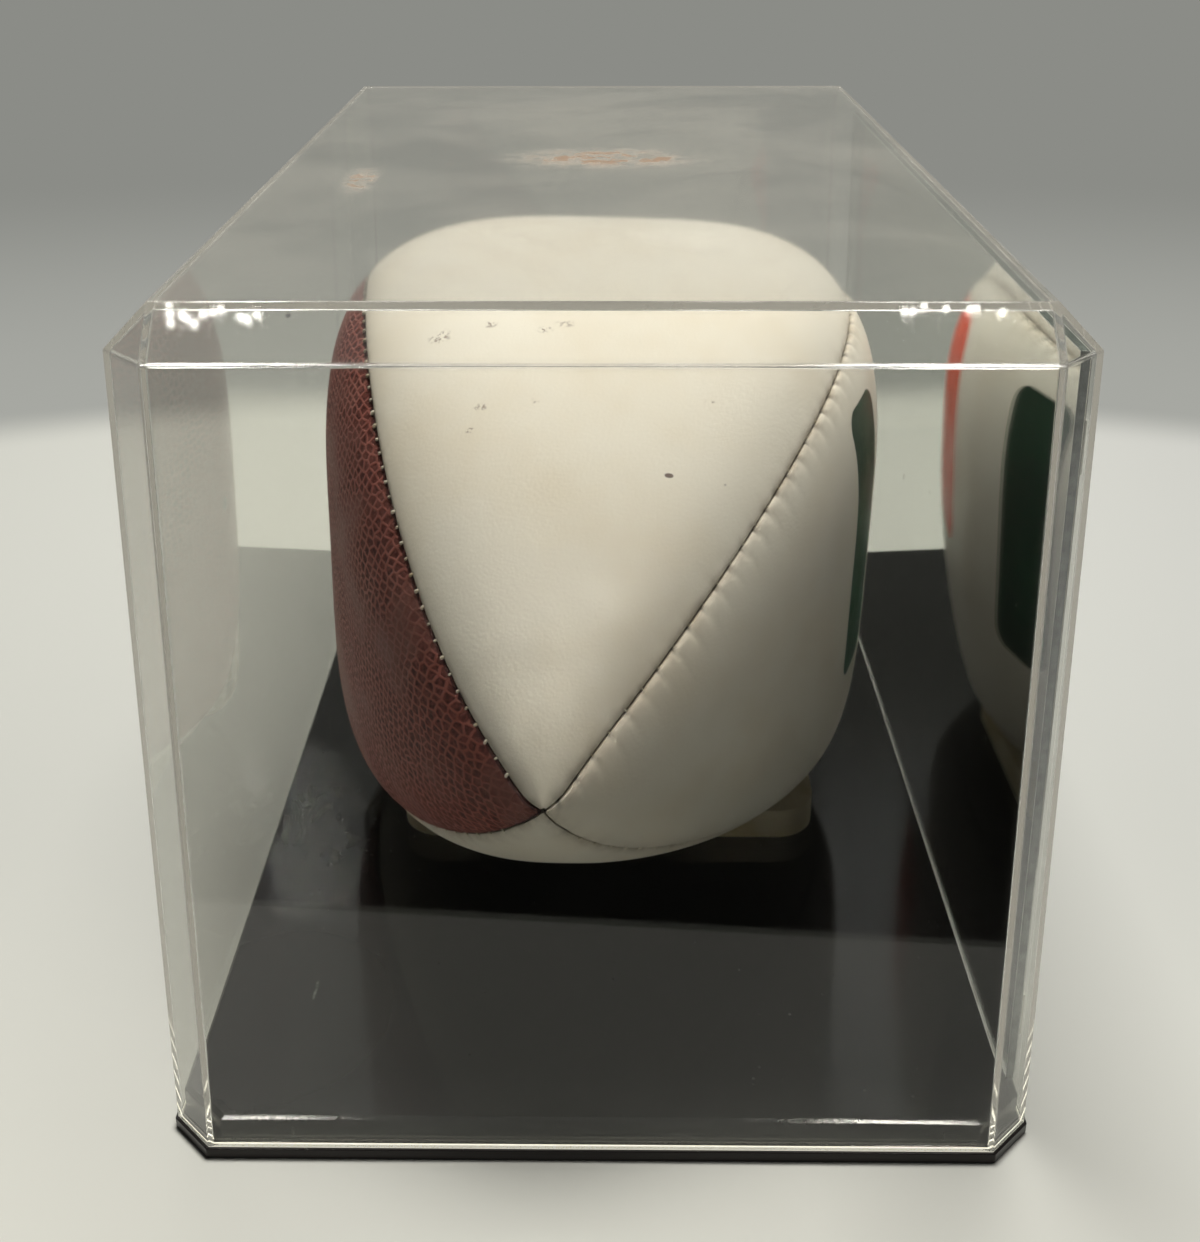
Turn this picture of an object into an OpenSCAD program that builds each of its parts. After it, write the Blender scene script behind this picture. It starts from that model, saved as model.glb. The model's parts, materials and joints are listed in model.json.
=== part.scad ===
// Football display case: a clear lift-off cover on a black moulded base, a mirror panel
// along one long wall, and a slack leather football resting on a low cradle.
// Millimetres. X is the width, the front faces -Y, Z is up. The origin lies on the surface
// that the base stands on, under the middle of the base.

/* [Football] */
// Length of the ball from nose to nose
ball_len = 280; // [262:1:290]
// Width of the ball across its left and right panels
ball_w = 166; // [150:1:176]
// Height of the ball above its widest line
ball_top_h = 85.6; // [76:0.2:92]
// Depth of the ball below its widest line
ball_bottom_h = 89; // [80:0.5:94]
// Squareness of the section over the top, where 2 is round
top_square = 3.6; // [2.4:0.1:5]
// Squareness of the section underneath, where the slack ball lies flat
bottom_square = 4.8; // [2.4:0.1:5]
// Squareness of the section at the noses
nose_square = 1.8; // [1.6:0.1:2.4]
// How far the front nose hangs below the middle of the ball
nose_drop = 17.4; // [0:0.2:22]
// How far the front nose lies to the left of the middle of the ball
nose_side = 12.7; // [0:0.1:16]
// How far the back nose hangs below the middle of the ball
back_drop = 10; // [0:0.5:14]
// How far the back nose lies to the right of the middle of the ball
back_side = 26; // [0:1:30]
// Roll of the ball on its cradle, in degrees
ball_roll = -1.1; // [-3:0.1:3]
// How far the ball stands forward of the middle of the case
ball_forward = 7.5; // [0:0.5:12]
// How far the ball stands to the left of the middle of the case
ball_left = 0.5; // [0:0.5:6]
// Where the four seams run at the ball's middle, in degrees from its right side
seam_middle = [40, 135, 222, 318];
// Where the four seams meet the front nose, in degrees from its right side
seam_nose = [42.5, 147, 227, 297];
// Thickness of the leather panels
leather_t = 2.2; // [1.6:0.1:3]
// Thickness of the cloth lining behind each panel
lining_t = 0.8; // [0.5:0.1:1.2]
// Gap between the edges of two panels at their seam
seam_gap = 0.4; // [0.2:0.1:0.8]
// Thickness of the rubber bladder
bladder_t = 1; // [0.8:0.1:1.6]
// Clearance between the bladder and the lining
bladder_gap = 0.3; // [0.2:0.1:0.6]

/* [Valve] */
// Radius of the valve's neck
valve_r = 2.8; // [2:0.1:4]
// Clearance round the valve's neck
valve_gap = 0.1; // [0.05:0.05:0.3]
// Depth of the neck's mouth below the leather
valve_recess = 0.5; // [0.2:0.1:1]
// Length of the valve's neck
valve_len = 14; // [10:0.5:20]
// Radius of the flange that holds the valve inside the bladder
valve_flange_r = 6; // [4:0.5:7]
// Thickness of that flange
valve_flange_t = 1; // [0.8:0.1:2]
// Clearance between the flange and the bladder beside the neck
valve_flange_gap = 0.9; // [0.8:0.1:1.2]

/* [Laces] */
// Number of laces across the seam
rung_count = 7; // [5:1:8]
// Distance between neighbouring laces
rung_pitch = 12; // [11:0.5:14]
// How far the laces lie behind the ball's middle
lace_back = 45; // [0:1:48]
// Length of each lace across the seam
rung_len = 27; // [20:1:32]
// Width of the flat lace
lace_w = 5; // [4:0.5:7]
// Thickness of the flat lace
lace_t = 1.5; // [1:0.1:2]
// Clearance under and between the laces
lace_gap = 0.3; // [0.2:0.1:0.5]

/* [Cradle] */
// Width of the cradle
cradle_w = 128; // [110:1:132]
// Length of the cradle
cradle_len = 80; // [60:1:110]
// Height of the cradle at its edge
cradle_h = 9.5; // [7:0.5:11]
// Radius of the cradle's corners
cradle_r = 12; // [6:1:20]
// How far the cradle stands to the right of the ball's middle
cradle_right = 3; // [0:0.5:5]
// Thickness of the cradle under the lowest part of the ball
seat_t = 5.2; // [3:0.1:7]
// Clearance between the ball and the cradle's seat
seat_gap = 0.3; // [0.2:0.1:0.6]

/* [Cover] */
// Room between each side of the ball and the cover's wall
side_room = 19.5; // [12:0.5:40]
// Room between each nose of the ball and the cover's wall
end_room = 24.5; // [18:0.5:50]
// Room between the ball and the top of the cover
top_room = 16.8; // [12:0.2:40]
// Thickness of the clear cover
wall = 2.5; // [2:0.1:3.5]
// How far each wall leans in over the height of the cover
draft = 5; // [1:0.5:7]
// Size of the bevel on the top edges and upright corners
bevel = 10; // [6:0.5:14]

/* [Base] */
// Thickness of the flange that the cover stands on
flange_t = 3; // [2:0.5:5]
// How far the flange reaches past the cover on each side
flange_out = 0.5; // [0:0.1:3]
// Height of the platform above the flange
platform_h = 7.6; // [5:0.2:12]
// Clearance between the platform's edge and the cover's wall
cover_gap = 0.6; // [0.4:0.1:1.5]
// Size of the small bevel along the platform's top edge
edge_bevel = 0.8; // [0.4:0.1:1.5]
// Thickness of the moulded base
base_wall = 2.5; // [2:0.1:3]
// Thickness of the stiffening ribs under the platform
rib_t = 2; // [1.5:0.1:3]
// Number of ribs that run across the base
cross_ribs = 4; // [2:1:6]
// Gap between the foot of the ribs and the surface that the base stands on
rib_lift = 0.5; // [0.2:0.1:1]

/* [Mirror] */
// Thickness of the clear sheet
mirror_t = 2; // [1.5:0.1:3]
// Thickness of the silvered and painted coat on the back of the sheet
coat_t = 0.2; // [0.1:0.1:0.4]
// Thickness of the tapes that hold the mirror to the cover's wall
tape_t = 0.3; // [0.2:0.1:0.6]
// Width of each tape
tape_w = 12; // [8:1:20]
// Distance from the mirror's upper and lower edges to the tapes
tape_inset = 14; // [8:1:30]
// Clearance between the mirror's foot and the platform
mirror_foot_gap = 0.3; // [0.2:0.1:1]
// Distance from the mirror's ends and top to the bends of the cover
mirror_edge_gap = 1.5; // [0.5:0.5:4]

/* [Hidden] */
$fn = 48;

// The ball's length is cut into rings, and each panel into strips between its two seams.
rings = 20;
strips = 8;
nose_opening = 0.998;
taper_shape = 1.62;
front_taper = 0.65;
back_taper = 0.45;
section_turn = 6;

// How far a cut runs past the faces that it opens
cut_past = 5;

half_w = ball_w / 2;
half_len = ball_len / 2;
platform_top = flange_t + platform_h;
ball_x = -ball_left;
ball_y = -ball_forward;
ball_z = platform_top + seat_t + seat_gap + ball_bottom_h;
cradle_x = ball_x + cradle_right;
lace_s = lace_back / half_len;

cover_w = ball_w + 2 * (side_room + wall);
cover_d = ball_len + 2 * (end_room + wall);
cover_h = ball_z - flange_t + ball_top_h + top_room + wall;
slope = draft / cover_h;
inner_bevel = bevel - wall * (2 - sqrt(2));

platform_w = cover_w - 2 * (wall + cover_gap);
platform_d = cover_d - 2 * (wall + cover_gap);
hollow_top = platform_top - base_wall;
hollow_w = platform_w - 2 * base_wall;
hollow_d = platform_d - 2 * base_wall;

mirror_bottom = platform_top + mirror_foot_gap;
mirror_top = flange_t + cover_h - bevel - mirror_edge_gap;
mirror_len = cover_d - 2 * (wall + draft + inner_bevel + mirror_edge_gap);

lining_in = leather_t + lining_t;
bladder_out = lining_in + bladder_gap;
bladder_in = bladder_out + bladder_t;

// ---- Outlines ----

// Rectangle with 45 degree corners, as a list of points at height z
function chamfered(w, d, c, z) = [
    [w / 2 - c, -d / 2, z], [w / 2, -d / 2 + c, z], [w / 2, d / 2 - c, z], [w / 2 - c, d / 2, z],
    [c - w / 2, d / 2, z], [-w / 2, d / 2 - c, z], [-w / 2, c - d / 2, z], [c - w / 2, -d / 2, z]
];

// Plain rectangle, as a list of points at height z
function corners(w, d, z) = [
    [w / 2, -d / 2, z], [w / 2, d / 2, z], [-w / 2, d / 2, z], [-w / 2, -d / 2, z]
];

// Solid of a leaning box with bevelled upright corners and bevelled top edges, as a cover
// has. Its corners end in one triangle each. w and d are measured at height 0.
module hood(w, d, h, c, foot) {
    lean = h - c;
    points = concat(
        chamfered(w - 2 * slope * foot, d - 2 * slope * foot, c, foot),
        chamfered(w - 2 * slope * lean, d - 2 * slope * lean, c, lean),
        corners(w - 2 * (slope * lean + c), d - 2 * (slope * lean + c), h)
    );
    walls = [for (i = [0 : 7]) [i, 8 + i, 8 + (i + 1) % 8, (i + 1) % 8]];
    triangles = [for (i = [0 : 3]) [8 + 2 * i, 16 + i, 9 + 2 * i]];
    bevels = [for (i = [0 : 3]) [9 + 2 * i, 16 + i, 16 + (i + 1) % 4, 8 + (2 * i + 2) % 8]];
    polyhedron(
        points = points,
        faces = concat([[for (i = [0 : 7]) i]], walls, triangles, bevels, [[19, 18, 17, 16]])
    );
}

// Plate with 45 degree corners
module chamfered_plate(w, d, c, h) {
    linear_extrude(h) polygon([for (p = chamfered(w, d, c, 0)) [p[0], p[1]]]);
}

// The same plate with a small bevel of size b round its top edge
module bevelled_plate(w, d, c, h, b) {
    points = concat(chamfered(w, d, c, 0), chamfered(w, d, c, h - b), chamfered(w - 2 * b, d - 2 * b, c, h));
    sides = [for (i = [0 : 7]) for (row = [0, 8])
        [row + i, row + 8 + i, row + 8 + (i + 1) % 8, row + (i + 1) % 8]];
    polyhedron(
        points = points,
        faces = concat([[for (i = [0 : 7]) i]], sides, [[for (i = [23 : -1 : 16]) i]])
    );
}

// ---- The ball's skin ----

// Share of the full section at s, which runs from -1 at the front nose to 1 at the back
function taper(s) = pow(1 - pow(abs(s), taper_shape), s < 0 ? front_taper : back_taper);

// 1 underneath the ball and 0 on its top, with a soft change between
function underneath(a) = 1 / (1 + exp(section_turn * sin(a)));

// Squareness of the section at s in the direction a
function squareness(s, a) =
    (top_square + (bottom_square - top_square) * underneath(a)) * (1 - s * s) + nose_square * s * s;

// Reach of a section of that squareness in the direction a
function reach(n, a) = pow(pow(abs(cos(a)), n) + pow(abs(sin(a)), n), -1 / n);

// Half height of the ball above or below its widest line
function half_height(a) = sin(a) > 0 ? ball_top_h : ball_bottom_h;

// How far the ball has bent away from its middle at s, from 0 to 1 at the noses
function bend(s) = s * s;

// Share of the way from the middle's seam angles to the front nose's
function nose_share(s) = s < 0 ? s * s : 0;

// Point of the ball at s and a, set in below the leather's outer face
function skin_point(s, a, inset) =
    let (
        turn = a - ball_roll,
        r = reach(squareness(s, turn), turn) * taper(s),
        x = (half_w - inset) * r * cos(turn),
        z = (half_height(turn) - inset) * r * sin(turn)
    )
    [
        ball_x + (s < 0 ? -nose_side : back_side) * bend(s) + x * cos(ball_roll) - z * sin(ball_roll),
        ball_y + (half_len - inset) * s,
        ball_z - (s < 0 ? nose_drop : back_drop) * bend(s) + x * sin(ball_roll) + z * cos(ball_roll)
    ];

// Angle of seam k at s; seam 4 is seam 0 after one turn
function seam_angle(k, s) =
    let (i = k % 4, turn = k > 3 ? 360 : 0)
    seam_middle[i] + (seam_nose[i] - seam_middle[i]) * nose_share(s) + turn;

// Angle that a length along the skin takes up at s and a
function arc_angle(length, s, a) =
    length / (half_w * max(taper(s), 0.01) * reach(squareness(s, a), a)) * 180 / PI;

// Place along the length of ring i
function ring_s(i) = -cos(180 * i / rings);

// Angle of strip line j of panel k, closer together towards the seams
function strip_angle(k, s, j) =
    let (from = seam_angle(k, s), to = seam_angle(k + 1, s))
    from + (to - from) * (1 - cos(180 * j / strips)) / 2;

// Triangles of one four-cornered piece of skin
function two_triangles(a, b, c, d) = [[a, b, c], [a, c, d]];

// Closed solid over a grid of skin places, each [s, angle, inset outside, inset inside]
module skin_patch(grid) {
    rows = len(grid);
    cols = len(grid[0]);
    n = rows * cols;
    outside = [for (row = grid) for (p = row) skin_point(p[0], p[1], p[2])];
    inside = [for (row = grid) for (p = row) skin_point(p[0], p[1], p[3])];
    faces = concat(
        [for (i = [0 : rows - 2]) for (j = [0 : cols - 2]) let (p = i * cols + j)
            each two_triangles(p, p + 1, p + cols + 1, p + cols)],
        [for (i = [0 : rows - 2]) for (j = [0 : cols - 2]) let (p = n + i * cols + j)
            each [[p, p + cols + 1, p + 1], [p, p + cols, p + cols + 1]]],
        [for (i = [0 : rows - 2]) let (p = i * cols)
            each two_triangles(p, p + cols, n + p + cols, n + p)],
        [for (i = [0 : rows - 2]) let (p = i * cols + cols - 1)
            each two_triangles(p, n + p, n + p + cols, p + cols)],
        [for (j = [0 : cols - 2]) each two_triangles(j, n + j, n + j + 1, j + 1)],
        [for (j = [0 : cols - 2]) let (p = (rows - 1) * cols + j)
            each two_triangles(p, p + 1, n + p + 1, n + p)]
    );
    polyhedron(points = concat(outside, inside), faces = faces);
}

// Layer of panel k between two depths below the outer face
module panel_layer(k, outside, inside) {
    grid = [for (i = [0 : rings])
        let (s = max(-nose_opening, min(nose_opening, ring_s(i))))
        [for (j = [0 : strips])
            let (
                a = strip_angle(k, s, j),
                edge = arc_angle(seam_gap / 2, s, a),
                shift = j == 0 ? edge : j == strips ? -edge : 0
            )
            [s, a + shift, outside, inside]]];
    skin_patch(grid);
}

// Closed form of the whole ball at one depth below its outer face
module ball_form(inset) {
    cols = 4 * strips;
    around = [for (i = [1 : rings - 1]) for (k = [0 : 3]) for (j = [0 : strips - 1])
        skin_point(ring_s(i), strip_angle(k, ring_s(i), j), inset)];
    noses = [skin_point(-1, 0, inset), skin_point(1, 0, inset)];
    front = len(around);
    last = front - cols;
    faces = concat(
        [for (i = [0 : rings - 3]) for (j = [0 : cols - 1])
            let (p = i * cols, q = (j + 1) % cols)
            each two_triangles(p + j, p + q, p + cols + q, p + cols + j)],
        [for (j = [0 : cols - 1]) [front, (j + 1) % cols, j]],
        [for (j = [0 : cols - 1]) [front + 1, last + j, last + (j + 1) % cols]]
    );
    polyhedron(points = concat(around, noses), faces = faces);
}

// ---- Base ----

// Rectangle with round corners
module rounded(w, d, r) {
    square([w, d - 2 * r], center = true);
    square([w - 2 * r, d], center = true);
    for (x = [-1, 1]) for (y = [-1, 1]) translate([x * (w / 2 - r), y * (d / 2 - r)]) circle(r);
}

module base_tray() {
    color([0.05, 0.05, 0.05]) {
        difference() {
            union() {
                chamfered_plate(cover_w + 2 * flange_out, cover_d + 2 * flange_out, bevel, flange_t);
                bevelled_plate(platform_w, platform_d, bevel, platform_top, edge_bevel);
            }
            translate([0, 0, -cut_past])
                chamfered_plate(hollow_w, hollow_d, bevel, hollow_top + cut_past);
        }
        for (i = [1 : cross_ribs])
            translate([-hollow_w / 2, hollow_d * (i / (cross_ribs + 1) - 0.5) - rib_t / 2, rib_lift])
                cube([hollow_w, rib_t, hollow_top - rib_lift]);
        translate([-rib_t / 2, -hollow_d / 2, rib_lift]) cube([rib_t, hollow_d, hollow_top - rib_lift]);
    }
}

module ball_cradle() {
    color([0.8, 0.77, 0.66]) difference() {
        translate([cradle_x, ball_y, platform_top]) linear_extrude(cradle_h)
            rounded(cradle_w, cradle_len, cradle_r);
        ball_form(-seat_gap);
    }
}

// ---- Cover and mirror ----

module clear_cover() {
    color([0.8, 0.9, 0.9, 0.3]) translate([0, 0, flange_t]) difference() {
        hood(cover_w, cover_d, cover_h, bevel, 0);
        hood(cover_w - 2 * wall, cover_d - 2 * wall, cover_h - wall, inner_bevel, -cut_past);
    }
}

// Inner face of the cover's right wall at height z
function wall_x(z) = cover_w / 2 - wall - slope * (z - flange_t);

// Leaning sheet along the right wall, from one depth off the wall to another
module wall_sheet(near, far, from, to, length) {
    translate([0, length / 2, 0]) rotate([90, 0, 0]) linear_extrude(length) polygon([
        [wall_x(from) - near, from], [wall_x(to) - near, to],
        [wall_x(to) - far, to], [wall_x(from) - far, from]
    ]);
}

module mirror_sheet() {
    off = tape_t + coat_t;
    color([0.85, 0.88, 0.9]) wall_sheet(off, off + mirror_t, mirror_bottom, mirror_top, mirror_len);
}

module mirror_coat() {
    color([0.6, 0.62, 0.64])
        wall_sheet(tape_t, tape_t + coat_t, mirror_bottom, mirror_top, mirror_len);
}

module mirror_tapes() {
    low = mirror_bottom + tape_inset;
    high = mirror_top - tape_inset - tape_w;
    color([0.9, 0.9, 0.88]) for (z = [low, high]) wall_sheet(0, tape_t, z, z + tape_w, mirror_len);
}

// ---- Football ----

// Outer face of the left panel beside the valve
valve_x = skin_point(0, 180, 0)[0];
valve_z = skin_point(0, 180, 0)[2];

// Round bar along X that starts below the left panel's outer face
module valve_bar(depth, length, r) {
    translate([valve_x + depth, ball_y, valve_z]) rotate([0, 90, 0]) cylinder(r = r, h = length);
}

module valve_hole() {
    valve_bar(-cut_past, bladder_in + 2 * cut_past, valve_r + valve_gap);
}

module top_panel() {
    color([0.86, 0.83, 0.74]) panel_layer(0, 0, leather_t);
}

module left_panel() {
    color([0.42, 0.2, 0.18]) difference() {
        panel_layer(1, 0, leather_t);
        valve_hole();
    }
}

module bottom_panel() {
    color([0.84, 0.81, 0.72]) panel_layer(2, 0, leather_t);
}

module right_panel() {
    color([0.82, 0.79, 0.7]) panel_layer(3, 0, leather_t);
}

module top_lining() {
    color([0.7, 0.68, 0.6]) panel_layer(0, leather_t, lining_in);
}

module left_lining() {
    color([0.7, 0.68, 0.6]) difference() {
        panel_layer(1, leather_t, lining_in);
        valve_hole();
    }
}

module bottom_lining() {
    color([0.7, 0.68, 0.6]) panel_layer(2, leather_t, lining_in);
}

module right_lining() {
    color([0.7, 0.68, 0.6]) panel_layer(3, leather_t, lining_in);
}

module bladder() {
    color([0.15, 0.15, 0.15]) difference() {
        ball_form(bladder_out);
        ball_form(bladder_in);
        valve_hole();
    }
}

module air_valve() {
    color([0.1, 0.1, 0.1]) {
        valve_bar(valve_recess, valve_len, valve_r);
        valve_bar(bladder_in + valve_flange_gap, valve_flange_t, valve_flange_r);
    }
}

module lace_strand() {
    reach_s = (rung_count * rung_pitch) / ball_len;
    steps = 2 * rung_count;
    grid = [for (i = [0 : steps])
        let (s = lace_s + reach_s * (2 * i / steps - 1), a = seam_angle(2, s), w = arc_angle(lace_w / 2, s, a))
        [for (side = [-1, 1]) [s, a + side * w, -lace_gap - lace_t, -lace_gap]]];
    color([0.85, 0.83, 0.78]) skin_patch(grid);
}

module lace_rung(s) {
    over = lace_t + 2 * lace_gap;
    half_s = lace_w / 2 / half_len;
    shape = [[-1, lace_gap, lace_t], [-0.75, lace_gap, over], [-0.45, over, over + lace_t],
        [0, over, over + lace_t],
        [0.45, over, over + lace_t], [0.75, lace_gap, over], [1, lace_gap, lace_t]];
    grid = [for (t = [s - half_s, s + half_s])
        let (a = seam_angle(2, t), w = arc_angle(rung_len / 2, t, a))
        [for (p = shape) [t, a + p[0] * w, -p[2], -p[1]]]];
    skin_patch(grid);
}

module lace_rungs() {
    color([0.88, 0.86, 0.8]) for (i = [0 : rung_count - 1])
        lace_rung(lace_s + (i - (rung_count - 1) / 2) * rung_pitch / half_len);
}

base_tray();
ball_cradle();
clear_cover();
mirror_sheet();
mirror_coat();
mirror_tapes();
top_panel();
left_panel();
bottom_panel();
right_panel();
top_lining();
left_lining();
bottom_lining();
right_lining();
bladder();
air_valve();
lace_strand();
lace_rungs();
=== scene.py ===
import json
import math
from functools import reduce

import bmesh
import bpy
import numpy as np
from mathutils import Matrix, Vector

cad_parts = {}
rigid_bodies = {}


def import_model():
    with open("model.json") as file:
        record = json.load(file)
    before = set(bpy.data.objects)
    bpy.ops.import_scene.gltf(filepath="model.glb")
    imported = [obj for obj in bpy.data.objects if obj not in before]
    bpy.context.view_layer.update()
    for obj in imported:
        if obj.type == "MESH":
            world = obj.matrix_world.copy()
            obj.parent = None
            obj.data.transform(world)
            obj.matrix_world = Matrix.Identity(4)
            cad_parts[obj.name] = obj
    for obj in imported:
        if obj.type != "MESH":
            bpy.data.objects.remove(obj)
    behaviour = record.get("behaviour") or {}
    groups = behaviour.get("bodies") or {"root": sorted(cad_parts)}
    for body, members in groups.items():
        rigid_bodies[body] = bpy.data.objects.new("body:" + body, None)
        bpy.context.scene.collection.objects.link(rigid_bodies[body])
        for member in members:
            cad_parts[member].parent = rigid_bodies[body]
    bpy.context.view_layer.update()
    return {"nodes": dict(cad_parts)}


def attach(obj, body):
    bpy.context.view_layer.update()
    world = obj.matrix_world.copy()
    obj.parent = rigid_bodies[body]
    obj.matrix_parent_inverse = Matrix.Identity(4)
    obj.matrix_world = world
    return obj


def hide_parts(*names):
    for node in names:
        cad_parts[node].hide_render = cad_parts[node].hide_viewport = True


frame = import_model()
mm = 0.001
scene = bpy.context.scene
scene.view_settings.view_transform = "Standard"
print("frame loaded")


def addObject(name, data):
    made = bpy.data.objects.new(name, data)
    scene.collection.objects.link(made)
    return made


# Camera, at the height of someone looking down over the short end of the case

cameraView = {
    "place": (0.0, -0.4477, 0.2914),
    "tilt": 0.4082,        # radians below the horizontal
    "turn": -0.0122,       # to the left
    "roll": -0.0026,
    "lens": 44.55,         # mm, with a 36 mm sensor along the taller side
    "shift": (0.01295, -0.08377),
}


def makeCamera(view):
    data = bpy.data.cameras.new("caseCamera")
    data.lens = view["lens"]
    data.sensor_width = 36
    data.shift_x, data.shift_y = view["shift"]
    data.clip_start = 0.01
    camera = addObject("caseCamera", data)
    level = Vector((math.cos(view["turn"]), -math.sin(view["turn"]), 0))
    ahead = Vector((math.sin(view["turn"]), math.cos(view["turn"]), 0))
    forward = math.cos(view["tilt"]) * ahead - Vector((0, 0, math.sin(view["tilt"])))
    upright = level.cross(forward)
    right = math.cos(view["roll"]) * level + math.sin(view["roll"]) * upright
    up = math.cos(view["roll"]) * upright - math.sin(view["roll"]) * level
    turn = Matrix((right, up, -forward)).transposed().to_4x4()
    camera.matrix_world = Matrix.Translation(view["place"]) @ turn
    scene.camera = camera


makeCamera(cameraView)


# Small helpers for node trees. Each one adds to the tree that was begun last

work = {}


def begin(tree):
    work["tree"] = tree
    return tree


def feed(node, inputs):        # each input takes a value or another node's output
    for name, value in inputs.items():
        if isinstance(value, bpy.types.NodeSocket):
            work["tree"].links.new(value, node.inputs[name])
        else:
            node.inputs[name].default_value = value


def setInputs(node, **inputs):
    feed(node, {name.replace("_", " "): value for name, value in inputs.items()})


def addNode(kind, inputs=None, **settings):
    made = work["tree"].nodes.new(kind)
    for name, value in settings.items():
        setattr(made, name, value)
    feed(made, inputs or {})
    return made


def socketOf(kind, inputs=None, **settings):        # the first output of a new node
    return addNode(kind, inputs, **settings).outputs[0]


def maths(operation, *values, clamp=False):
    return socketOf("ShaderNodeMath", dict(enumerate(values)), operation=operation, use_clamp=clamp)


def fold(operation, values):
    return reduce(lambda total, value: maths(operation, total, value), values)


def times(*values):
    return fold("MULTIPLY", values)


def plus(*values):
    return fold("ADD", values)


def most(*values):
    return fold("MAXIMUM", values)


def vectors(operation, *values, result=0):
    return addNode("ShaderNodeVectorMath", dict(enumerate(values)), operation=operation).outputs[result]


def axes(vector):
    return addNode("ShaderNodeSeparateXYZ", {0: vector}).outputs


def remap(value, low, high, start=0.0, end=1.0, smooth=True):
    ranges = {"Value": value, "From Min": low, "From Max": high, "To Min": start, "To Max": end}
    kind = "SMOOTHSTEP" if smooth else "LINEAR"
    return socketOf("ShaderNodeMapRange", ranges, interpolation_type=kind)


def mixColours(share, first, second):
    return addNode("ShaderNodeMix", {0: share, 6: first, 7: second}, data_type="RGBA").outputs[2]


def mixShaders(share, first, second):
    return addNode("ShaderNodeMixShader", {0: share, 1: first.outputs[0], 2: second.outputs[0]})


def glowing(colour, strength=1.0):
    return addNode("ShaderNodeEmission", {"Color": colour, "Strength": strength})


def lightPath():
    return addNode("ShaderNodeLightPath").outputs


def noiseAt(vector, scale, detail=3.0, roughness=0.55, distortion=0.0):
    values = {"Vector": vector, "Scale": scale, "Detail": detail, "Roughness": roughness,
              "Distortion": distortion}
    return addNode("ShaderNodeTexNoise", values).outputs["Fac"]


def voronoi(vector, scale, **settings):
    return addNode("ShaderNodeTexVoronoi", {"Vector": vector, "Scale": scale}, **settings).outputs


def readAttribute(name):
    return addNode("ShaderNodeAttribute", attribute_name=name).outputs["Fac"]


def paint(red, green, blue):        # a screen colour, 0 to 255, as the linear colour that nodes take
    def straight(level):
        level /= 255
        return level / 12.92 if level < 0.04 else ((level + 0.055) / 1.055) ** 2.4
    return (straight(red), straight(green), straight(blue), 1.0)


def newMaterial(name, **values):        # also gives its shader and the place on the piece
    material = bpy.data.materials.new(name)
    material.use_nodes = True
    shader = begin(material.node_tree).nodes["Principled BSDF"]
    setInputs(shader, **values)
    return material, shader, addNode("ShaderNodeTexCoord").outputs["Object"]


def addBump(shader, height, strength, distance):
    bump = addNode("ShaderNodeBump", {"Height": height, "Strength": strength, "Distance": distance})
    setInputs(shader, Normal=bump.outputs[0])


def setSurface(shader):
    feed(work["tree"].nodes["Material Output"], {"Surface": shader.outputs[0]})


def makeGroup(name, kind, build, inputs, label, result):        # build gives the socket of the result
    tree = begin(bpy.data.node_groups.new(name, kind + "NodeTree"))
    for each, sort, value in inputs:
        socket = tree.interface.new_socket(each, in_out="INPUT", socket_type="NodeSocket" + sort)
        if value is not None:
            socket.default_value = value
    tree.interface.new_socket(label, in_out="OUTPUT", socket_type="NodeSocket" + result)
    given = tree.nodes.new("NodeGroupInput").outputs[:len(inputs)]
    feed(tree.nodes.new("NodeGroupOutput"), {0: build(*given)})
    return tree


def useGroup(group, **inputs):
    made = addNode("ShaderNodeGroup", node_tree=group)
    setInputs(made, **inputs)
    return made.outputs[0]


# Effects that several finishes share

def smudgeMask(place, scale, coverage, softness, breakUp):        # soft irregular patches
    threshold = maths("SUBTRACT", 0.78, times(coverage, 0.56))
    patches = remap(noiseAt(place, scale, 5.0, 0.6, 0.6), threshold, plus(threshold, softness))
    fine = remap(noiseAt(place, times(scale, 11.0), 4.0, 0.7), 0.35, 0.65)
    return socketOf("ShaderNodeMix", {0: breakUp, 2: patches, 3: times(patches, fine)})


def hairlineMask(place, scale, width, turn):        # thin wandering scratches
    lines = []
    for more, stretch in ((0.0, 7.0), (1.1, 9.0), (2.2, 6.0)):
        turned = socketOf("ShaderNodeVectorRotate", {"Vector": place, "Angle": plus(turn, more)},
                         rotation_type="Z_AXIS")
        waves = noiseAt(vectors("MULTIPLY", turned, (stretch, 1.0, 1.0)), scale, 2.0, 0.4)
        line = maths("LESS_THAN", maths("ABSOLUTE", maths("SUBTRACT", waves, 0.5)), width)
        lines.append(times(line, remap(noiseAt(turned, scale, 3.0), 0.52, 0.6)))
    return most(*lines)


def speckMask(place, scale, size, amount):        # scattered specks of many sizes
    cells = voronoi(place, scale)
    shade = addNode("ShaderNodeSeparateColor", {0: cells["Color"]}).outputs
    inside = maths("LESS_THAN", cells["Distance"], times(shade[0], size))
    return times(inside, maths("LESS_THAN", shade[1], amount))


def grainHeight(place, cell, crease):        # fine soft grain of a coated leather
    scale = maths("DIVIDE", 1.0, cell)
    cells = voronoi(place, scale, feature="SMOOTH_F1")
    creases = noiseAt(place, times(scale, 0.22), 4.0, 0.6, 1.2)
    return maths("SUBTRACT", times(creases, crease), cells["Distance"])


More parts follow.
